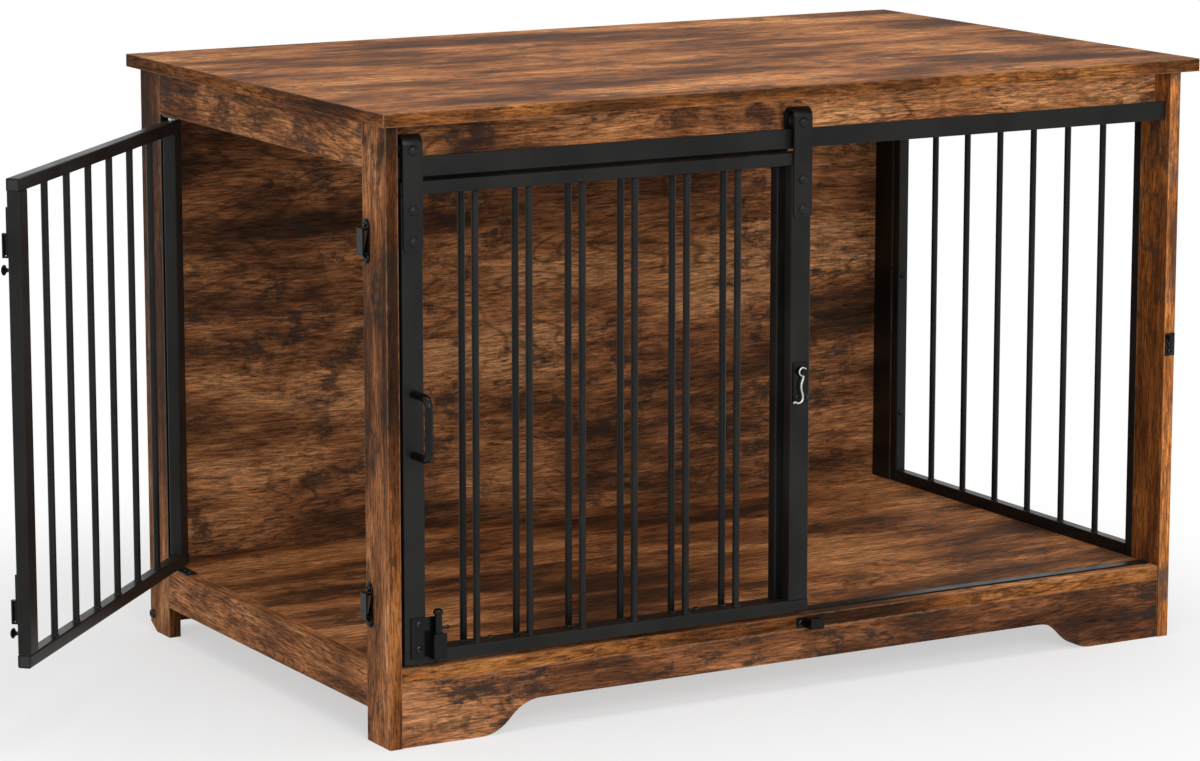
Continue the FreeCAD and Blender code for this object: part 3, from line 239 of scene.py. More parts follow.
def toned(tree, colour, value, low, high, darkest, lightest):
    """A colour made darker and lighter by a value."""
    shade = step(tree, value, low, high, darkest, lightest)
    grey = add(tree, "CombineColor", None, Red=shade, Green=shade, Blue=shade)
    return mixed(tree, 1.0, colour, grey.outputs[0], "MULTIPLY")


print("inks:", ", ".join(INKS))

# %% [markdown]
# The group puts the print together in the order of a printing press: the ground, lighter and darker fibres, then one
# ink after another. It hands out a colour, a roughness and a height. The shader itself stays in each material.

# %% Rustic print group
def rustic_print():
    group, given, out = new_group(
        "rustic_print",
        (("Vector", "Vector"), ("Edge Band", "Float"), ("Smudges", "Float"), ("Wear", "Float"), ("Tone", "Color"),
         ("Face", "Color")),
        (("Colour", "Color"), ("Roughness", "Float"), ("Height", "Float")))
    place = wandering(group, given["Vector"])
    cloud = stretched(group, given["Vector"], 2.8, 9.0, 3.0, 0.60).outputs[0]
    broad = stretched(group, place, 3.0, 24.0, 4.0, 0.62).outputs[0]
    narrow = stretched(group, place, 6.0, 95.0, 4.0, 0.66).outputs[0]
    bands = sum_of(group, "MULTIPLY_ADD", broad, 0.55, sum_of(group, "MULTIPLY", narrow, 0.24))
    level = step(group, sum_of(group, "MULTIPLY_ADD", cloud, 1.30, bands), 0.76, 1.32)
    coarse = stretched(group, place, 14.0, 150.0, 4.0, 0.72).outputs[0]
    fibre = stretched(group, place, 40.0, 460.0, 4.0, 0.74).outputs[0]
    masks = marks(group, given["Vector"], place, given["Smudges"])

    # Face multiplies the ground: partly the board's own tone, partly painted light and shade.
    colour = mixed(group, 1.0, print_ground(group, level), given["Face"], "MULTIPLY")
    colour = toned(group, colour, coarse, 0.30, 0.70, 0.76, 1.24)
    colour = toned(group, colour, fibre, 0.32, 0.68, 0.36, 1.66)
    for name, (strength, ink) in INKS.items():
        colour = mixed(group, sum_of(group, "MULTIPLY", masks[name], strength), colour, ink)
    # The edge band tone; on the front right post it is a painted highlight.
    colour = mixed(group, given["Edge Band"], colour, mixed(group, 1.0, colour, given["Tone"], "MULTIPLY"))
    # Paler tan along the edges: part rubbed paper, part painted highlight.
    colour = mixed(group, sum_of(group, "MULTIPLY", given["Wear"], 0.42), colour, (0.40, 0.205, 0.100, 1))
    feed(group, out["Colour"], colour)
    feed(group, out["Roughness"], step(group, fibre, 0.2, 0.8, 0.78, 0.62))
    cuts = sum_of(group, "ADD", masks["lines"], masks["pores"])
    feed(group, out["Height"], sum_of(group, "SUBTRACT", fibre, sum_of(group, "MULTIPLY", cuts, 0.5)))
    return group


RUSTIC = rustic_print()
print("rustic print:", len(RUSTIC.nodes), "nodes")

# %% [markdown]
# ## Worn and lit board edges
# Where two faces of a board meet, the paper is folded or banded, and it rubs thin. The paler line along the edge is
# part rubbed paper and part painted highlight, the light that a rounded edge catches. A board is a box, so a point on
# its skin has three distances to the box's faces. The smallest is zero, because the point is on a face, and the
# second smallest is the distance to the nearest edge. Noise breaks the line up.

# %% Board edge group
def board_edge():
    group, given, out = new_group("board_edge", (("Vector", "Vector"), ("Centre", "Vector"), ("Half", "Vector")),
                                  (("Wear", "Float"),))
    offset = add(group, "VectorMath", {"operation": "SUBTRACT"})
    feed(group, offset.inputs[0], given["Vector"])
    feed(group, offset.inputs[1], given["Centre"])
    size = add(group, "VectorMath", {"operation": "ABSOLUTE"})
    feed(group, size.inputs[0], offset.outputs[0])
    inside = add(group, "VectorMath", {"operation": "SUBTRACT"})
    feed(group, inside.inputs[0], given["Half"])
    feed(group, inside.inputs[1], size.outputs[0])
    x, y, z = add(group, "SeparateXYZ", None, Vector=inside.outputs[0]).outputs
    nearer = sum_of(group, "MINIMUM", x, y)
    farther = sum_of(group, "MAXIMUM", x, y)
    second = sum_of(group, "MAXIMUM", nearer, sum_of(group, "MINIMUM", farther, z))
    edge_break_up = add(group, "TexNoise", None, Vector=given["Vector"], Scale=85.0, Detail=3.0).outputs[0]
    ragged = sum_of(group, "MULTIPLY_ADD", edge_break_up, 0.0035, second)
    # The mask of the paler edge line: part wear, part painted highlight.
    feed(group, out["Wear"], step(group, ragged, 0.0016, 0.0034, 1.0, 0.0))
    return group


EDGE = board_edge()
print("board edge:", len(EDGE.nodes), "nodes")

# %% [markdown]
# ## One finish for each board
# Each board is cut from another place of the printed sheet, so each gets its own material. The table gives each
# board's grain axis, its thin axis, its offset on the sheet, its share of charred smudges and the tone of its edge
# band, which is mostly darker and yellower than the face. The front right post's band is a painted highlight
# instead, much paler than its face. Some faces are paler or darker than the sheet: partly each board's own tone,
# partly painted light and shade, such as the floor panel lightened against the shade under the top and the front
# right post darkened for the shade on its inner face.

# %% Table of boards
GRAIN_TURN = {"X": (0, 0, 0), "Y": (0, 0, -math.pi / 2), "Z": (0, math.pi / 2, 0)}
# The second band tone, used on the front right post, is a painted highlight: it makes that post's edges much paler,
# as if brightly lit.
DARK_BAND, PAINTED_HIGHLIGHT_BAND = (0.46, 0.39, 0.27, 1), (2.60, 2.80, 3.10, 1)
BOARDS = {
    "top_board": ("X", "Z", (0.30, 1.10, 0.40), 0.70, (0.58, 0.52, 0.36, 1)),
    "back_panel": ("X", "Y", (2.10, 0.60, 0.20), 0.85, DARK_BAND),
    "floor_panel": ("X", "Z", (3.70, 0.25, 0.90), 0.70, DARK_BAND),
    "front_apron": ("X", "Y", (7.45, 0.90, 0.60), 1.00, DARK_BAND),
    "front_fascia": ("X", "Y", (9.40, 1.80, 0.70), 0.85, DARK_BAND),
    "front_left_post": ("Z", "X", (1.95, 2.60, 0.20), 1.00, (0.58, 0.48, 0.32, 1)),
    # Front right post: painted highlight on its edges, painted shade on its faces.
    "front_right_post": ("Z", "X", (2.75, 3.10, 0.35), 0.80, PAINTED_HIGHLIGHT_BAND),
    "back_left_post": ("Z", "X", (4.40, 4.30, 0.10), 0.90, DARK_BAND),
    "back_right_post": ("Z", "X", (5.90, 5.20, 0.80), 0.90, DARK_BAND),
    "left_upper_rail": ("Y", "X", (0.90, 6.10, 0.45), 0.75, DARK_BAND),
    "right_upper_rail": ("Y", "X", (2.40, 7.30, 0.65), 0.90, DARK_BAND),
    "left_lower_rail": ("Y", "X", (3.00, 8.20, 0.30), 0.28, (1.00, 0.94, 0.86, 1)),
    "right_lower_rail": ("Y", "X", (4.80, 9.10, 0.50), 0.90, DARK_BAND),
    "grille_cleat": ("Z", "Y", (6.10, 0.15, 0.85), 0.60, DARK_BAND),
}
# Face tones: partly each board's own tone, partly painted light and shade. The floor panel is lightened against the
# shade under the top, and the front right post is darkened for the shade on its inner face.
FACE_TONE_AND_PAINTED_LIGHT = {"top_board": (1.24, 1.16, 1.06, 1), "front_right_post": (0.62, 0.48, 0.27, 1),
             "front_apron": (0.80, 0.74, 0.74, 1), "front_left_post": (1.20, 1.15, 1.15, 1),
             "left_lower_rail": (1.30, 1.26, 1.24, 1), "left_upper_rail": (1.18, 1.14, 1.10, 1),
             "front_fascia": (1.36, 1.32, 1.28, 1), "floor_panel": (1.55, 1.50, 1.40, 1)}
print("boards:", len(BOARDS), "with their own face tone:", len(FACE_TONE_AND_PAINTED_LIGHT))

# %% [markdown]
# A Mapping node turns the print until the grain runs along the board. The edge band is found from the direction that
# the skin faces. The band is a printed strip too, so on a board's end a second Mapping node lays its grain along the
# edge, where sawn timber would show end grain.

# %% Board finishes
def new_finish(name):
    """A material with its tree, its Object coordinates and its shader."""
    material = bpy.data.materials.new(name)
    material.use_nodes = True
    tree = material.node_tree
    return material, tree, add(tree, "TexCoord").outputs, tree.nodes["Principled BSDF"].inputs


def group_in(tree, group, **sockets):
    made = tree.nodes.new("ShaderNodeGroup")
    made.node_tree = group
    for name, given in sockets.items():
        feed(tree, made.inputs[name.replace("_", " ")], given)
    return made.outputs


def board_finish(name, grain, thin, offset, smudges, band):
    # The face tone is partly the board's own tone and partly painted light and shade.
    face = FACE_TONE_AND_PAINTED_LIGHT.get(name, (1, 1, 1, 1))
    material, tree, coords, shader = new_finish("rustic_" + name)
    low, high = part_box(name)
    # Edge line mask: part wear, part painted highlight.
    worn_and_lit = group_in(tree, EDGE, Vector=coords["Object"], Centre=(low + high) / 2, Half=(high - low) / 2)
    facing = add(tree, "SeparateXYZ", None, Vector=coords["Normal"]).outputs
    edge = sum_of(tree, "LESS_THAN", sum_of(tree, "ABSOLUTE", facing[thin]), 0.5)
    at_end = sum_of(tree, "GREATER_THAN", sum_of(tree, "ABSOLUTE", facing[grain]), 0.5)
    across = next(axis for axis in "XYZ" if axis not in (grain, thin))
    turned = [add(tree, "Mapping", None, Vector=coords["Object"], Location=offset, Rotation=GRAIN_TURN[way])
              for way in (grain, across)]
    place = add(tree, "Mix", {"data_type": "VECTOR"})
    for index, source in ((0, at_end), (4, turned[0].outputs[0]), (5, turned[1].outputs[0])):
        feed(tree, place.inputs[index], source)
    board = group_in(tree, RUSTIC, Vector=place.outputs[1], Edge_Band=edge, Smudges=smudges, Wear=worn_and_lit["Wear"],
                     Tone=band, Face=face)
    feed(tree, shader["Base Color"], board["Colour"])
    feed(tree, shader["Roughness"], board["Roughness"])
    bump = add(tree, "Bump", None, Strength=0.22, Distance=0.0008, Height=board["Height"])
    feed(tree, shader["Normal"], bump.outputs[0])
    shader["Specular IOR Level"].default_value = 0.08
    return material


for name, (grain, thin, offset, smudges, band) in BOARDS.items():
    nodes[name].material_slots[0].material = board_finish(name, grain, thin, offset, smudges, band)
print("boards finished:", len(BOARDS))

# %% [markdown]
# ## Black powder coat
# The rail, doors, bars and plates are steel with a baked powder coat: almost black, a little warm, satin, with the
# fine dimples that melted powder leaves. The dimples are a dense noise for the bump, and a slower noise shifts the
# colour and the gloss a little so that long tubes don't look like one flat tone. The small bought-in hardware, such
# as the handle, the bolt's housing and the keepers, is lacquered instead: blacker, smoother and more glossy.

# %% Powder coat
def dimpled(name, fine, slow):
    """Group for baked or moulded skins: a fine grain and a slow drift."""
    group, given, out = new_group(name, (("Vector", "Vector"),), (("Grain", "Float"), ("Drift", "Float")))
    grain = add(group, "TexNoise", None, Vector=given["Vector"], Scale=fine, Detail=2.0).outputs[0]
    drift = add(group, "TexNoise", None, Vector=given["Vector"], Scale=slow, Detail=3.0).outputs[0]
    feed(group, out["Grain"], grain)
    feed(group, out["Drift"], drift)
    return group


SKIN = dimpled("dimpled_skin", 900.0, 14.0)


def coated(name, dark, light, gloss, relief, specular):
    """A dark coat whose colour and gloss drift between two levels."""
    material, tree, coords, shader = new_finish(name)
    skin = group_in(tree, SKIN, Vector=coords["Object"])
    level = step(tree, skin["Drift"], 0.3, 0.7)
    speck = step(tree, skin["Grain"], 0.35, 0.75, 0.88, 1.18)
    speckle = add(tree, "CombineColor", None, Red=speck, Green=speck, Blue=speck).outputs[0]
    feed(tree, shader["Base Color"], mixed(tree, 1.0, mixed(tree, level, dark, light), speckle, "MULTIPLY"))
    feed(tree, shader["Roughness"], step(tree, skin["Drift"], 0.2, 0.8, *gloss))
    bump = add(tree, "Bump", None, Strength=relief, Distance=0.0003, Height=skin["Grain"])
    feed(tree, shader["Normal"], bump.outputs[0])
    shader["Specular IOR Level"].default_value = specular
    return material


POWDER = coated("black_powder_coat", (0.0060, 0.0057, 0.0053, 1), (0.0120, 0.0114, 0.0106, 1), (0.30, 0.42),
                relief=0.25, specular=0.18)
LACQUER = coated("black_lacquer", (0.0024, 0.0023, 0.0022, 1), (0.0042, 0.0040, 0.0038, 1), (0.14, 0.22),
                 relief=0.08, specular=0.18)
NYLON = coated("black_moulded_nylon", (0.009, 0.009, 0.0095, 1), (0.014, 0.014, 0.0145, 1), (0.52, 0.62),
               relief=0.35, specular=0.4)
print("coats:", POWDER.name, LACQUER.name, NYLON.name)

# %% [markdown]
# ## Plated steel and bare wood
# The rail's bolts, the cam locks and the swing hook are zinc-plated: a bright grey metal whose polish is streaked and
# a little cloudy. The screws and the back panel's bolts are plated too, but blackened, so only their glints show.
# The dowels inside the joints are turned beech, pale with fine fibres. They are hidden, but a part that is taken
# apart still shows them.

# %% Plating and beech
def plated(name, dull, bright):
    material, tree, coords, shader = new_finish(name)
    skin = group_in(tree, SKIN, Vector=coords["Object"])
    cloud = step(tree, skin["Drift"], 0.3, 0.7)
    feed(tree, shader["Base Color"], mixed(tree, cloud, dull, bright))
    feed(tree, shader["Roughness"], step(tree, skin["Grain"], 0.3, 0.7, 0.24, 0.36))
    bump = add(tree, "Bump", None, Strength=0.12, Distance=0.0002, Height=skin["Grain"])
    feed(tree, shader["Normal"], bump.outputs[0])
    shader["Metallic"].default_value = 1.0
    return material


def beech():
    material, tree, coords, shader = new_finish("turned_beech")
    fibre = stretched(tree, coords["Object"], 30.0, 500.0, 3.0).outputs[0]
    feed(tree, shader["Base Color"], mixed(tree, fibre, (0.40, 0.25, 0.13, 1), (0.62, 0.44, 0.27, 1)))
    feed(tree, shader["Roughness"], step(tree, fibre, 0.2, 0.8, 0.7, 0.55))
    return material


ZINC, BEECH = plated("zinc_plating", (0.50, 0.49, 0.46, 1), (0.66, 0.65, 0.62, 1)), beech()
BLACK_ZINC = plated("black_zinc_plating", (0.020, 0.0195, 0.019, 1), (0.040, 0.039, 0.0375, 1))
FINISH = {"black_steel": POWDER, "plated_steel": ZINC, "black_nylon": NYLON, "bare_wood": BEECH}
LACQUERED = {"pull_handle", "floor_bolt_housing", "floor_keeper", "hook_base", "hook_catch", "latch_plates",
             "side_door_keepers"}
for name, node in nodes.items():
    if name not in BOARDS:
        slot = node.material_slots[0].material.name.split(".")[0]
        node.material_slots[0].material = LACQUER if name in LACQUERED else FINISH[slot]
print("slots finished:", sorted(FINISH))

# %% [markdown]
# ## Softened edges
# No real board or tube has a perfectly sharp edge, and the thin bright line along a rounded edge is what makes
# steel look like steel. The CAD meshes are loose triangles, so a Weld modifier joins them, a planar Decimate
# turns flat areas back into whole faces, and a Bevel rounds what is left.

# %% Rounded edges
ROUNDING = {0.0010: ["top_board"],
            0.0006: [name for name in BOARDS if name != "top_board"],
            0.0007: ["slide_rail", "left_hanger", "right_hanger", "floor_bolt_housing", "floor_keeper", "hook_base",
                     "hook_catch", "latch_plates", "side_door_keepers", "pivot_brackets"],
            0.0004: ["side_door_jamb", "right_jamb_plate", "threshold_strip", "rail_standoffs", "left_roller",
                     "right_roller", "axle_spacers", "barn_door_plugs", "side_door_plugs"]}


def soften(node, radius):
    weld = node.modifiers.new("join_triangles", "WELD")
    weld.merge_threshold = 0.00001
    flat = node.modifiers.new("whole_faces", "DECIMATE")
    flat.decimate_type = "DISSOLVE"
    flat.angle_limit = math.radians(1)
    edge = node.modifiers.new("round_edges", "BEVEL")
    edge.width = radius
    edge.segments = 2
    edge.limit_method = "ANGLE"
    edge.angle_limit = math.radians(40)
    edge.harden_normals = True


for radius, names in ROUNDING.items():
    for name in names:
        soften(nodes[name], radius)
print("softened:", sum(len(names) for names in ROUNDING.values()), "nodes")

# %% [markdown]
# ## Making new hardware
# The CAD screws are plain cones on rods. The finer ones are shaped with bmesh and put exactly where the CAD ones
# are, so each CAD node is first split into its separate solids: a copy of its mesh is merged, and points that are
# joined by edges belong together. A finished piece rides on the body that its node rides on.

# %% Measuring and finishing helpers
def solids_of(name):
    """The points of each separate solid of a CAD node."""
    bm = bmesh.new()
    bm.from_mesh(nodes[name].data)
    bmesh.ops.remove_doubles(bm, verts=bm.verts, dist=0.000001)
    waiting, solids = set(bm.verts), []
    while waiting:
        grow, solid = [waiting.pop()], []
        while grow:
            corner = grow.pop()
            solid.append(corner.co.copy())
            joined = [edge.other_vert(corner) for edge in corner.link_edges]
            fresh = [other for other in joined if other in waiting]
            waiting.difference_update(fresh)
            grow.extend(fresh)
        solids.append(solid)
    bm.free()
    return solids


def span(points):
    """Lowest and highest corner of some points."""
    return (Vector([min(p[i] for p in points) for i in range(3)]),
            Vector([max(p[i] for p in points) for i in range(3)]))


def finished(bm, name, stands_for, finish, sharp=32, material=None, body=None):
    """Turns a bmesh into a piece that rides on a body, or replaces a CAD node and rides on that node's body."""
    bmesh.ops.recalc_face_normals(bm, faces=bm.faces)
    mesh = bpy.data.meshes.new(name)
    bm.to_mesh(mesh)
    bm.free()
    mesh.shade_smooth()
    mesh.set_sharp_from_angle(angle=math.radians(sharp))
    mesh.materials.append(material or FINISH[finish])
    made = bpy.data.objects.new(name, mesh)
    scene.collection.objects.link(made)
    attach(made, body or nodes[stands_for]["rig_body"])
    if stands_for:
        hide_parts(stands_for)
    print(name, "faces", len(mesh.polygons))
    return made


print("screw solids:", len(solids_of("keeper_screws")))

# %% [markdown]
# ## Screws and bolts with driven heads
# A pan-head screw has a domed head with a crossed slot, and the bolts have a round head with a hexagonal socket. A
# head starts as a ring of points for the slot and a circle round it, which bridge_loops joins. The circle's edge
# is then extruded outwards and down the dome, and the slot's edge is extruded inwards to a floor.

# %% A driven head
CROSS = [(0.14, 0.52), (0.14, 0.14), (0.52, 0.14), (0.52, -0.14), (0.14, -0.14), (0.14, -0.52),
         (-0.14, -0.52), (-0.14, -0.14), (-0.52, -0.14), (-0.52, 0.14), (-0.14, 0.14), (-0.14, 0.52)]
HEXAGON = [(0.42 * math.cos(i * math.pi / 3), 0.42 * math.sin(i * math.pi / 3)) for i in range(6)]
DOME = ((0.80, 0.86), (0.94, 0.58), (1.0, 0.26), (1.0, 0.0))
FLAT_SHARE = 0.62


def pulled(bm, edges, radius_factor, rise):
    """Extrudes a ring of edges, resizes it round Z, moves it along Z and hands out its edges."""
    made = bmesh.ops.extrude_edge_only(bm, edges=edges)["geom"]
    verts = [g for g in made if isinstance(g, bmesh.types.BMVert)]
    bmesh.ops.scale(bm, vec=(radius_factor, radius_factor, 1.0), verts=verts)
    bmesh.ops.translate(bm, vec=(0, 0, rise), verts=verts)
    return [g for g in made if isinstance(g, bmesh.types.BMEdge) and all(v in verts for v in g.verts)]


def driven_head(bm, place, radius, height, shank, length, slot=CROSS, dome=DOME):
    """One screw or bolt, made upright at zero and then put in its place."""
    before = set(bm.verts)
    rim = bmesh.ops.create_circle(bm, segments=24, radius=radius * FLAT_SHARE)["verts"]
    bmesh.ops.translate(bm, vec=(0, 0, height), verts=rim)
    corners = [bm.verts.new((x * radius, y * radius, height)) for x, y in slot]
    recess = [bm.edges.new((a, b)) for a, b in zip(corners, corners[1:] + corners[:1])]
    ring = list({edge for vert in rim for edge in vert.link_edges})
    bmesh.ops.bridge_loops(bm, edges=ring + recess)
    at, level = FLAT_SHARE, 1.0
    for wide, high in dome:
        ring = pulled(bm, ring, wide / at, (high - level) * height)
        at, level = wide, high
    ring = pulled(bm, ring, shank / (at * radius), 0.0)
    ring = pulled(bm, ring, 1.0, -length)
    bmesh.ops.contextual_create(bm, geom=ring)
    floor = pulled(bm, recess, 0.72, -height * 0.7)
    bmesh.ops.contextual_create(bm, geom=floor)
    bmesh.ops.transform(bm, matrix=place, verts=[v for v in bm.verts if v not in before])


def upright(foot, outward):
    """Matrix that stands a piece's Z on a foot point, pointing outward."""
    return Matrix.Translation(foot) @ outward.to_track_quat("Z", "Y").to_matrix().to_4x4()


print("dome steps:", len(DOME))

# %% [markdown]
# The CAD solid of a screw tells where it sits: its longest side is its axis, its widest ring is the foot of its head,
# and the end nearer to that ring is the head's top. The side door stands open, so its screws are turned back to the
# closed door for measuring, and turned out again with the piece.

# %% Reading a screw's place
PIVOT = CRATE + Vector((-0.5225, 0.5725, 0.0))
OPEN = Matrix.Translation(PIVOT) @ Matrix.Rotation(math.radians(-43.5), 4, "Z") @ Matrix.Translation(-PIVOT)
SCREW_SHANK, BOLT_SHANK = 0.0018, 0.0030


def read_screw(points):
    """Foot point, outward direction, head radius and height, and shank length of a CAD screw along a frame axis."""
    low, high = span(points)
    size = high - low
    axis = max(range(3), key=lambda i: size[i])
    middle = (low + high) / 2

    def off_axis(p):
        return math.sqrt(sum((p[i] - middle[i]) ** 2 for i in range(3) if i != axis))

    widest = max(map(off_axis, points))
    foot = next(p[axis] for p in points if off_axis(p) > widest * 0.98)
    to_low, to_high = foot - low[axis], high[axis] - foot
    outward = Vector((0, 0, 0))
    outward[axis] = -1.0 if to_low < to_high else 1.0
    middle[axis] = foot
    return middle, outward, widest, min(to_low, to_high), max(to_low, to_high)


def driven_set(name, stands_for, slot, material=BLACK_ZINC, turn=Matrix.Identity(4)):
    """All screws or bolts of one CAD node as one piece."""
    bm = bmesh.new()
    shank = BOLT_SHANK if slot is HEXAGON else SCREW_SHANK
    for points in solids_of(stands_for):
        foot, outward, radius, height, length = read_screw([turn.inverted() @ p for p in points])
        driven_head(bm, turn @ upright(foot, outward), radius, height, shank, length, slot)
    return finished(bm, name, stands_for, "plated_steel", material=material)


driven_set("crossed_keeper_screws", "keeper_screws", CROSS)
driven_set("crossed_door_screws", "barn_door_screws", CROSS)
driven_set("crossed_grille_screws", "grille_screws", CROSS)
driven_set("crossed_pivot_screws", "pivot_screws", CROSS)
driven_set("crossed_latch_screws", "latch_screws", CROSS, turn=OPEN)
driven_set("socket_rail_bolts", "rail_bolts", HEXAGON, ZINC)
driven_set("socket_panel_bolts", "back_panel_bolts", HEXAGON)

# %% [markdown]
# ## Domed hanger bolts
# The straps of the barn door carry three black round-headed bolts each, with a nut behind. The dome is a curve of
# points spun right round its axis. The nut is a six-sided cone with equal ends and a bevelled rim.

# %% Hanger bolts
DOMED = [(0.0, 0.0035), (0.0016, 0.0034), (0.0032, 0.0029), (0.0046, 0.0020), (0.0055, 0.0010), (0.0058, 0.0)]
NUT_RADIUS, NUT_LIMIT = 0.0060, 0.005


def turned_rod(bm, place, outline, steps=28, closed=False):
    """Spins an outline of (radius, height) points round Z and puts it in its place."""
    before = set(bm.verts)
    verts = [bm.verts.new((radius, 0, height)) for radius, height in outline]
    edges = [bm.edges.new(pair) for pair in zip(verts, verts[1:] + verts[:1] if closed else verts[1:])]
    bmesh.ops.spin(bm, geom=verts + edges, cent=(0, 0, 0), axis=(0, 0, 1), angle=2 * math.pi, steps=steps,
                   use_merge=True)
    made = [v for v in bm.verts if v not in before]
    bmesh.ops.remove_doubles(bm, verts=made, dist=0.000005)
    bmesh.ops.transform(bm, matrix=place, verts=[v for v in bm.verts if v not in before])


def hex_nut(bm, place, radius, height):
    before = set(bm.verts)
    made = bmesh.ops.create_cone(bm, cap_ends=True, segments=6, radius1=radius, radius2=radius, depth=height)
    edges = list({edge for vert in made["verts"] for edge in vert.link_edges})
    bmesh.ops.bevel(bm, geom=edges, offset=height * 0.12, offset_type="OFFSET", affect="EDGES", segments=2,
                    profile=0.5, material=-1)
    bmesh.ops.transform(bm, matrix=place, verts=[v for v in bm.verts if v not in before])


def hanger_bolts():
    bm = bmesh.new()
    for points in solids_of("hanger_bolts"):
        low, high = span(points)
        middle = (low + high) / 2
        if high.y - low.y < NUT_LIMIT:
            hex_nut(bm, upright(middle, Vector((0, 1, 0))), NUT_RADIUS, high.y - low.y)
            continue
        foot = Vector((middle.x, low.y + DOMED[0][1], middle.z))
        end = foot.y - high.y
        shank = [(BOLT_SHANK, 0.0), (BOLT_SHANK, end), (0.0, end)]
        turned_rod(bm, upright(foot, Vector((0, -1, 0))), DOMED + shank)
    return finished(bm, "domed_hanger_bolts", "hanger_bolts", "black_steel")


hanger_bolts()

# %% [markdown]
# ## The swing hook
# The small bright hook on the right stile is bent from wire. A run of wire starts as a small circle, which is later
# spun along the bends. Its end is closed by two smaller rings and a cap, so that it looks rounded off.

# %% Wire
WIRE = 0.0013


def aside(heading):
    """Direction to the left of a heading, which is 0 for down and grows towards -X."""
    return Vector((-math.cos(heading), 0.0, math.sin(heading)))


def wire_circle(bm, centre):
    """A circle of wire that lies across a downward run: its points and edges."""
    verts = bmesh.ops.create_circle(bm, segments=14, radius=WIRE)["verts"]
    bmesh.ops.translate(bm, vec=centre, verts=verts)
    return verts + list({edge for vert in verts for edge in vert.link_edges})


def rounded_end(bm, ring, at, heading):
    """Closes the end of a wire with two smaller rings and a cap."""
    edges = [g for g in ring if isinstance(g, bmesh.types.BMEdge)]
    forward = aside(heading - math.pi / 2)
    for size, reach in ((0.80, 0.5), (0.45, 0.3)):
        made = bmesh.ops.extrude_edge_only(bm, edges=edges)["geom"]
        verts = [g for g in made if isinstance(g, bmesh.types.BMVert)]
        edges = [g for g in made if isinstance(g, bmesh.types.BMEdge) and all(v in verts for v in g.verts)]
        bmesh.ops.scale(bm, vec=(size, size, size), space=Matrix.Translation(-at), verts=verts)
        bmesh.ops.translate(bm, vec=forward * reach * WIRE, verts=verts)
        at = at + forward * reach * WIRE
    bmesh.ops.contextual_create(bm, geom=edges)


print("wire radius", WIRE)

# %% [markdown]
# The hook has an eye round its pivot, an arm that bows to the left, an open curl that drops over the stud of the
# catch, and a flared tip. The circle is spun round one bend's centre after another. Each centre lies square to the
# wire's heading, so the bends run into each other without a kink. BENDS gives each turn in degrees and its radius.

# %% Swing hook
EYE_RADIUS, HUB = 0.0045, 0.0065
HOOK_X, ARM_START = CRATE.x - 0.002, Vector((0.0006, 0, -0.0046))
BENDS = ((25, 0.0140), (-45, 0.0160), (20, 0.0220), (125, 0.0056), (-75, 0.0026))


def swing_hook():
    low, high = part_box("swing_hook")
    pivot = Vector((HOOK_X, (low.y + high.y) / 2, high.z - HUB))
    bm = bmesh.new()
    eye = wire_circle(bm, pivot + Vector((EYE_RADIUS, 0, 0)))
    bmesh.ops.spin(bm, geom=eye, cent=pivot, axis=(0, 1, 0), angle=2 * math.pi, steps=32, use_merge=True)
    at, heading = pivot + ARM_START, 0.0
    ring = wire_circle(bm, at)
    bmesh.ops.contextual_create(bm, geom=[g for g in ring if isinstance(g, bmesh.types.BMEdge)])
    for turn, radius in BENDS:
        side = math.copysign(radius, turn)
        centre = at + aside(heading) * side
        made = bmesh.ops.spin(bm, geom=ring, cent=centre, axis=(0, 1, 0), angle=math.radians(turn),
                              steps=max(6, abs(turn) // 7))
        ring = [g for g in made["geom_last"] if isinstance(g, (bmesh.types.BMVert, bmesh.types.BMEdge))]
        heading += math.radians(turn)
        at = centre - aside(heading) * side
    rounded_end(bm, ring, at, heading)
    return finished(bm, "bent_wire_hook", "swing_hook", "plated_steel", 60)


swing_hook()

# %% [markdown]
# ## Latch slides with mushroom knobs
# Each latch of the side door is a flat tongue with a tail, and a mushroom knob on the tail to push it with. The plate
# is one face whose corners are rounded by a vertex bevel before it is extruded, and the knob is spun. Both are
# made for the closed door, and then turned out with it.

# %% Latch slides
RIM_ANGLE, RIM_ROUND = 1.2, 0.0003


def flat_plate(bm, corners, thickness, rounding):
    """A plate from its outline in Y and Z at X = 0, made thicker towards -X, with rounded corners and rims."""
    before = set(bm.verts)
    face = bm.faces.new([bm.verts.new((0, y, z)) for y, z in corners])
    bmesh.ops.bevel(bm, geom=list(face.verts), offset=rounding, offset_type="OFFSET", affect="VERTICES", segments=4,
                    profile=0.5, material=-1)
    outline = [f for f in bm.faces if not before.intersection(f.verts)]
    made = bmesh.ops.extrude_face_region(bm, geom=outline)["geom"]
    bmesh.ops.translate(bm, vec=(-thickness, 0, 0), verts=[g for g in made if isinstance(g, bmesh.types.BMVert)])
    fresh = [v for v in bm.verts if v not in before]
    bmesh.ops.recalc_face_normals(bm, faces=list({f for v in fresh for f in v.link_faces}))
    rims = [e for e in {e for v in fresh for e in v.link_edges} if e.calc_face_angle(0) > RIM_ANGLE]
    bmesh.ops.bevel(bm, geom=rims, offset=RIM_ROUND, offset_type="OFFSET", affect="EDGES", segments=2, profile=0.5,
                    material=-1)
    return [v for v in bm.verts if v not in before]


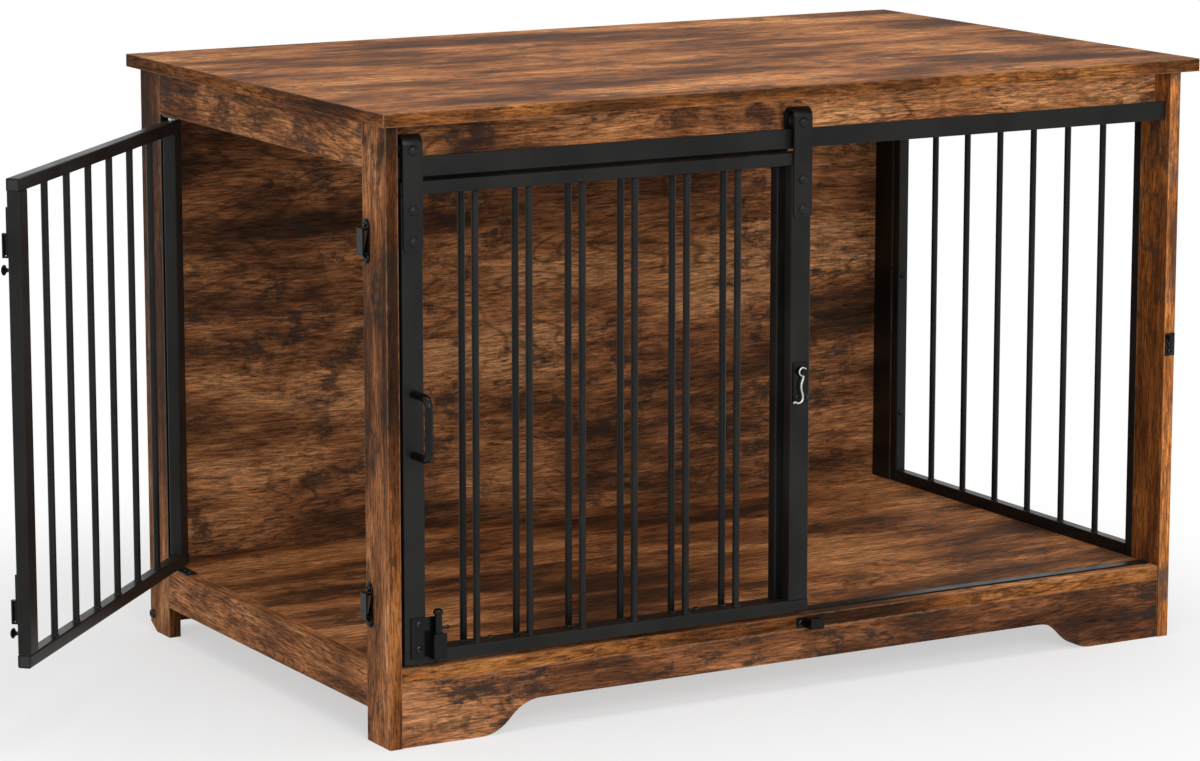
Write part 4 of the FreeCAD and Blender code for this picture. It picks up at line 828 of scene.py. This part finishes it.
KNOB = [(0.0, 0.0160), (0.0022, 0.0159), (0.0042, 0.0154), (0.0055, 0.0145), (0.0060, 0.0134), (0.0057, 0.0125),
        (0.0044, 0.0117), (0.0030, 0.0109), (0.0024, 0.0097), (0.0022, 0.0080), (0.0022, 0.0012), (0.0034, 0.0),
        (0.0, 0.0)]
TONGUE = [(0.063, -0.011), (0.089, -0.011), (0.089, -0.038), (0.097, -0.038), (0.097, 0.011), (0.063, 0.011)]
TONGUE_X, TONGUE_THICK, TONGUE_CORNER = -0.53225, 0.0025, 0.0022
KNOB_Y, KNOB_DROP = 0.093, 0.032
LATCH_HEIGHTS = {"upper": 0.560, "lower": 0.155}


def latch_slide(level, middle):
    bm = bmesh.new()
    verts = flat_plate(bm, TONGUE, TONGUE_THICK, TONGUE_CORNER)
    bmesh.ops.translate(bm, vec=CRATE + Vector((TONGUE_X, 0, middle)), verts=verts)
    knob_foot = CRATE + Vector((TONGUE_X - TONGUE_THICK, KNOB_Y, middle - KNOB_DROP))
    turned_rod(bm, upright(knob_foot, Vector((-1, 0, 0))), KNOB)
    bmesh.ops.transform(bm, matrix=OPEN, verts=bm.verts)
    return finished(bm, level + "_knobbed_latch", level + "_latch_slide", "black_steel", 40, LACQUER)


for level, middle in LATCH_HEIGHTS.items():
    latch_slide(level, middle)

# %% [markdown]
# ## The floor bolt
# The bolt at the foot of the barn door is a turned rod with a chamfered tip and a rounded cap, and a short side pin
# with a ball end for the finger. Both are spun outlines: one stands on Z, the other lies along X.

# %% Floor bolt
BOLT_ROD = [(0.0, 0.0), (0.0026, 0.0), (0.0040, 0.0016), (0.0040, 0.0532), (0.0050, 0.0537), (0.0055, 0.0546),
            (0.0055, 0.0570), (0.0048, 0.0588), (0.0030, 0.0597), (0.0, 0.0600)]
SIDE_PIN = [(0.0, 0.0140), (0.0013, 0.0137), (0.0022, 0.0128), (0.0025, 0.0116), (0.0022, 0.0104), (0.0017, 0.0096),
            (0.0017, 0.0), (0.0, 0.0)]
BOLT_CAP, PIN_HEIGHT, PIN_STEPS = 0.0055, 0.038, 20


def floor_bolt():
    bm = bmesh.new()
    low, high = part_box("floor_bolt")
    foot = Vector((low.x + BOLT_CAP, (low.y + high.y) / 2, low.z))
    turned_rod(bm, Matrix.Translation(foot), BOLT_ROD)
    turned_rod(bm, upright(foot + Vector((0, 0, PIN_HEIGHT)), Vector((1, 0, 0))), SIDE_PIN, PIN_STEPS)
    return finished(bm, "turned_floor_bolt", "floor_bolt", "black_steel", 40, LACQUER)


floor_bolt()

# %% [markdown]
# ## Cam locks
# A flat-pack board is pulled to its post by a cam in the board's hidden face, a zinc disc with a crossed slot. It is
# the same recipe as a screw head, with a nearly flat dome and a body as wide as the disc.

# %% Cam locks
CAM_FACE = ((0.84, 0.96), (0.95, 0.80), (0.98, 0.40), (0.98, 0.0))
CAM_RISE = 0.0010


def cam_locks():
    bm = bmesh.new()
    for points in solids_of("cam_locks"):
        low, high = span(points)
        size, middle = high - low, (low + high) / 2
        axis = min(range(3), key=lambda i: size[i])
        outward = Vector((0, 1, 0)) if axis == 1 else Vector((math.copysign(1, CRATE.x - middle.x), 0, 0))
        radius = size[2] / 2
        foot = middle + outward * (size[axis] / 2 - CAM_RISE)
        body = size[axis] - CAM_RISE
        driven_head(bm, upright(foot, outward), radius, CAM_RISE, radius * 0.92, body, CROSS, CAM_FACE)
    return finished(bm, "crossed_cam_locks", "cam_locks", "plated_steel")


cam_locks()

# %% [markdown]
# ## Rolled tubes
# The frames are welded from square tube, which is rolled from strip and so has round corners and a hollow inside.
# The CAD tubes are sharp, and where two of them touch, a Bevel modifier would tangle their shared edge. So each tube
# is made anew in the same box: a rectangle gets round corners from a vertex bevel, an inset leaves the wall's
# thickness as a ring, and the ring is extruded along the tube. To bore a wall, both its faces are filled again round
# a circle, and a bridge between the two circles makes the hole.

# %% Tubes
TUBE, TUBE_WALL, TUBE_CORNER = 0.015, 0.0015, 0.0020
HOLE_STEPS = 32


def tube_run(bm, axis, low, high):
    """A hollow tube along an axis that fills the box between two corners."""
    before = set(bm.verts)
    far = Vector((0, 0, 0))
    far[axis] = high[axis] - low[axis]
    across, along = [i for i in range(3) if i != axis]
    corners = []
    for first, second in ((low, low), (high, low), (high, high), (low, high)):
        corner = Vector(low)
        corner[across], corner[along] = first[across], second[along]
        corners.append(bm.verts.new(corner))
    bm.faces.new(corners)
    bmesh.ops.bevel(bm, geom=corners, offset=TUBE_CORNER, offset_type="OFFSET", affect="VERTICES", segments=4,
                    profile=0.5, material=-1)
    section = [f for f in bm.faces if not before.intersection(f.verts)]
    ring = bmesh.ops.inset_region(bm, faces=section, thickness=TUBE_WALL, use_even_offset=True, use_boundary=True)
    bmesh.ops.delete(bm, geom=section, context="FACES_ONLY")
    made = bmesh.ops.extrude_face_region(bm, geom=ring["faces"])["geom"]
    bmesh.ops.translate(bm, vec=far, verts=[g for g in made if isinstance(g, bmesh.types.BMVert)])


def bored(bm, place, radius, level):
    """A round upright hole through the level wall at a height."""
    rims = []
    for wall in [f for f in bm.faces if abs(f.normal.z) > 0.99]:
        z = wall.verts[0].co.z
        if abs(z - level) < TUBE_WALL and bmesh.geometry.intersect_face_point(wall, Vector((place.x, place.y, z))):
            turns = [math.tau * i / HOLE_STEPS for i in range(HOLE_STEPS)]
            ring = [bm.verts.new((place.x + radius * math.cos(a), place.y + radius * math.sin(a), z)) for a in turns]
            rim = [bm.edges.new((ring[i - 1], ring[i])) for i in range(HOLE_STEPS)]
            outline = list(wall.edges)
            bm.faces.remove(wall)
            bmesh.ops.triangle_fill(bm, edges=outline + rim, use_beauty=True)
            rims += rim
    bmesh.ops.bridge_loops(bm, edges=rims)


print("tube", TUBE, "wall", TUBE_WALL)

# %% [markdown]
# A frame is two rails and two stiles, with a hairline seam at each joint. The side door's frame is made shut and then
# turned out, and its rails are bored for the pivot pins.

# %% Tube frames
SEAM, PIN_HOLE = 0.0001, 0.00405
DOOR_STILE, SIDE_STILE = 0.026, 0.025


def tube_frame(name, stands_for, stile, rails_through, turn=Matrix.Identity(4), pins=None):
    """Two rails and two stiles in the box of a CAD frame; either the rails or the stiles run right through."""
    low, high = span([turn.inverted() @ v.co for v in nodes[stands_for].data.vertices])
    side = 0 if high.x - low.x > high.y - low.y else 1
    bm = bmesh.new()
    for at_start in (True, False):
        rail_low, rail_high, stile_low, stile_high = low.copy(), high.copy(), low.copy(), high.copy()
        if at_start:
            rail_high.z, stile_high[side] = low.z + TUBE, low[side] + stile
        else:
            rail_low.z, stile_low[side] = high.z - TUBE, high[side] - stile
        if rails_through:
            stile_low.z, stile_high.z = low.z + TUBE + SEAM, high.z - TUBE - SEAM
        else:
            rail_low[side], rail_high[side] = low[side] + stile + SEAM, high[side] - stile - SEAM
        tube_run(bm, side, rail_low, rail_high)
        tube_run(bm, 2, stile_low, stile_high)
    if pins:
        bm.normal_update()
        for level in (low.z + TUBE_WALL / 2, high.z - TUBE_WALL / 2):
            bored(bm, pins, PIN_HOLE, level)
    bmesh.ops.transform(bm, matrix=turn, verts=bm.verts)
    made = finished(bm, name, stands_for, "black_steel", 40)
    made.modifiers.new("flat_sides", "WEIGHTED_NORMAL").keep_sharp = True


tube_frame("barn_door_tubes", "barn_door_frame", DOOR_STILE, True)
tube_frame("fixed_grille_tubes", "fixed_grille_frame", TUBE, False)
tube_frame("right_grille_tubes", "right_grille_frame", TUBE, False)
tube_frame("side_door_tubes", "side_door_frame", SIDE_STILE, True, OPEN, PIVOT)

# %% [markdown]
# ## Weld beads
# The bars are welded to the tubes of their frames, and the coat covers a small bead round each end. A bead is a
# little hollow-sided outline spun round the bar. Each grille has its own piece, because each rides on its own body.

# %% Weld beads
BEAD = [(0.0036, 0.0017), (0.0041, 0.0016), (0.0044, 0.0008), (0.0050, 0.0004), (0.0057, 0.0), (0.0036, 0.0)]


def weld_beads(grille):
    bm = bmesh.new()
    for points in solids_of(grille + "_bars"):
        low, high = span(points)
        middle = (low + high) / 2
        for z, outward in ((low.z, 1), (high.z, -1)):
            turned_rod(bm, upright(Vector((middle.x, middle.y, z)), Vector((0, 0, outward))), BEAD, 16, True)
    body = nodes[grille + "_bars"]["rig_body"]
    return finished(bm, grille + "_weld_beads", None, "black_steel", 60, body=body)


for grille in ("barn_door", "fixed_grille", "right_grille", "side_door"):
    weld_beads(grille)

# %% [markdown]
# ## The studio floor
# A catalogue object stands on white with a soft shadow. The floor is a large pale sheet. Close to the crate it takes
# shadows, and further out a mix with plain white light hides where it ends. Light Path keeps that white for the
# camera and for gloss, so the sheet doesn't light the crate from below.

# %% Floor
FADE_START, FADE_END, NEAR_WHITE = 0.60, 1.15, 0.55


def pale_floor():
    material = bpy.data.materials.new("pale_floor")
    material.use_nodes = True
    tree = material.node_tree
    shader = tree.nodes["Principled BSDF"]
    shader.inputs["Base Color"].default_value = (0.94, 0.94, 0.94, 1)
    shader.inputs["Roughness"].default_value = 0.9
    shader.inputs["Specular IOR Level"].default_value = 0.0
    away = add(tree, "VectorMath", {"operation": "LENGTH"})
    feed(tree, away.inputs[0], add(tree, "TexCoord").outputs["Object"])
    share = step(tree, away.outputs["Value"], FADE_START, FADE_END, NEAR_WHITE, 1.0)
    path = add(tree, "LightPath").outputs
    seen = sum_of(tree, "MAXIMUM", path["Is Camera Ray"], path["Is Glossy Ray"])
    white = add(tree, "Emission", None, Strength=1.0)
    both = add(tree, "MixShader")
    feed(tree, both.inputs[0], sum_of(tree, "MULTIPLY", share, seen))
    feed(tree, both.inputs[1], shader.outputs[0])
    feed(tree, both.inputs[2], white.outputs[0])
    feed(tree, tree.nodes["Material Output"].inputs["Surface"], both.outputs[0])
    return material


bm = bmesh.new()
bmesh.ops.create_grid(bm, x_segments=4, y_segments=4, size=30.0)
sheet = bpy.data.meshes.new("studio_floor")
bm.to_mesh(sheet)
bm.free()
sheet.materials.append(pale_floor())
floor = bpy.data.objects.new("studio_floor", sheet)
scene.collection.objects.link(floor)
print("floor", floor.dimensions[:2])

# %% [markdown]
# ## The white world
# The world is plain white to the camera, to gloss and through clear things, but its light on dull surfaces is weaker,
# so that the softboxes below can shape the crate.

# %% World
WORLD_LIGHT = 0.40
world = bpy.data.worlds.new("white_studio")
scene.world = world
world.use_nodes = True
air = world.node_tree
path = add(air, "LightPath").outputs
mirrored = sum_of(air, "MAXIMUM", path["Is Glossy Ray"], path["Is Transmission Ray"])
seen = sum_of(air, "MAXIMUM", path["Is Camera Ray"], mirrored)
background = air.nodes["Background"].inputs
feed(air, background["Color"], (1, 1, 1, 1))
feed(air, background["Strength"], sum_of(air, "MULTIPLY_ADD", seen, 1.0 - WORLD_LIGHT, WORLD_LIGHT))
print("world light on dull surfaces", WORLD_LIGHT)

# %% [markdown]
# ## Softboxes
# Three large square lamps light the crate: one above for the table top, one in front, and a weak one at the left for
# the open door. Each looks back along the line from its target.

# %% Lamps
def softbox(name, place, target, size, watts):
    lamp = bpy.data.lights.new(name, "AREA")
    lamp.shape = "SQUARE"
    lamp.size = size
    lamp.energy = watts
    made = bpy.data.objects.new(name, lamp)
    scene.collection.objects.link(made)
    back = (Vector(place) - Vector(target)).normalized()
    made.matrix_world = Matrix.Translation(Vector(place)) @ back.to_track_quat("Z", "Y").to_matrix().to_4x4()


softbox("top_softbox", (0.2, -0.4, 3.2), (0.1, 0.0, 0.5), 2.2, 34)
softbox("front_softbox", (-0.6, -3.6, 1.9), (0.1, 0.0, 0.35), 1.8, 62)
softbox("left_softbox", (-3.2, -1.2, 1.6), (-0.2, 0.0, 0.35), 1.6, 10)
scene.view_settings.view_transform = "Standard"
print("lamps", len(bpy.data.lights))
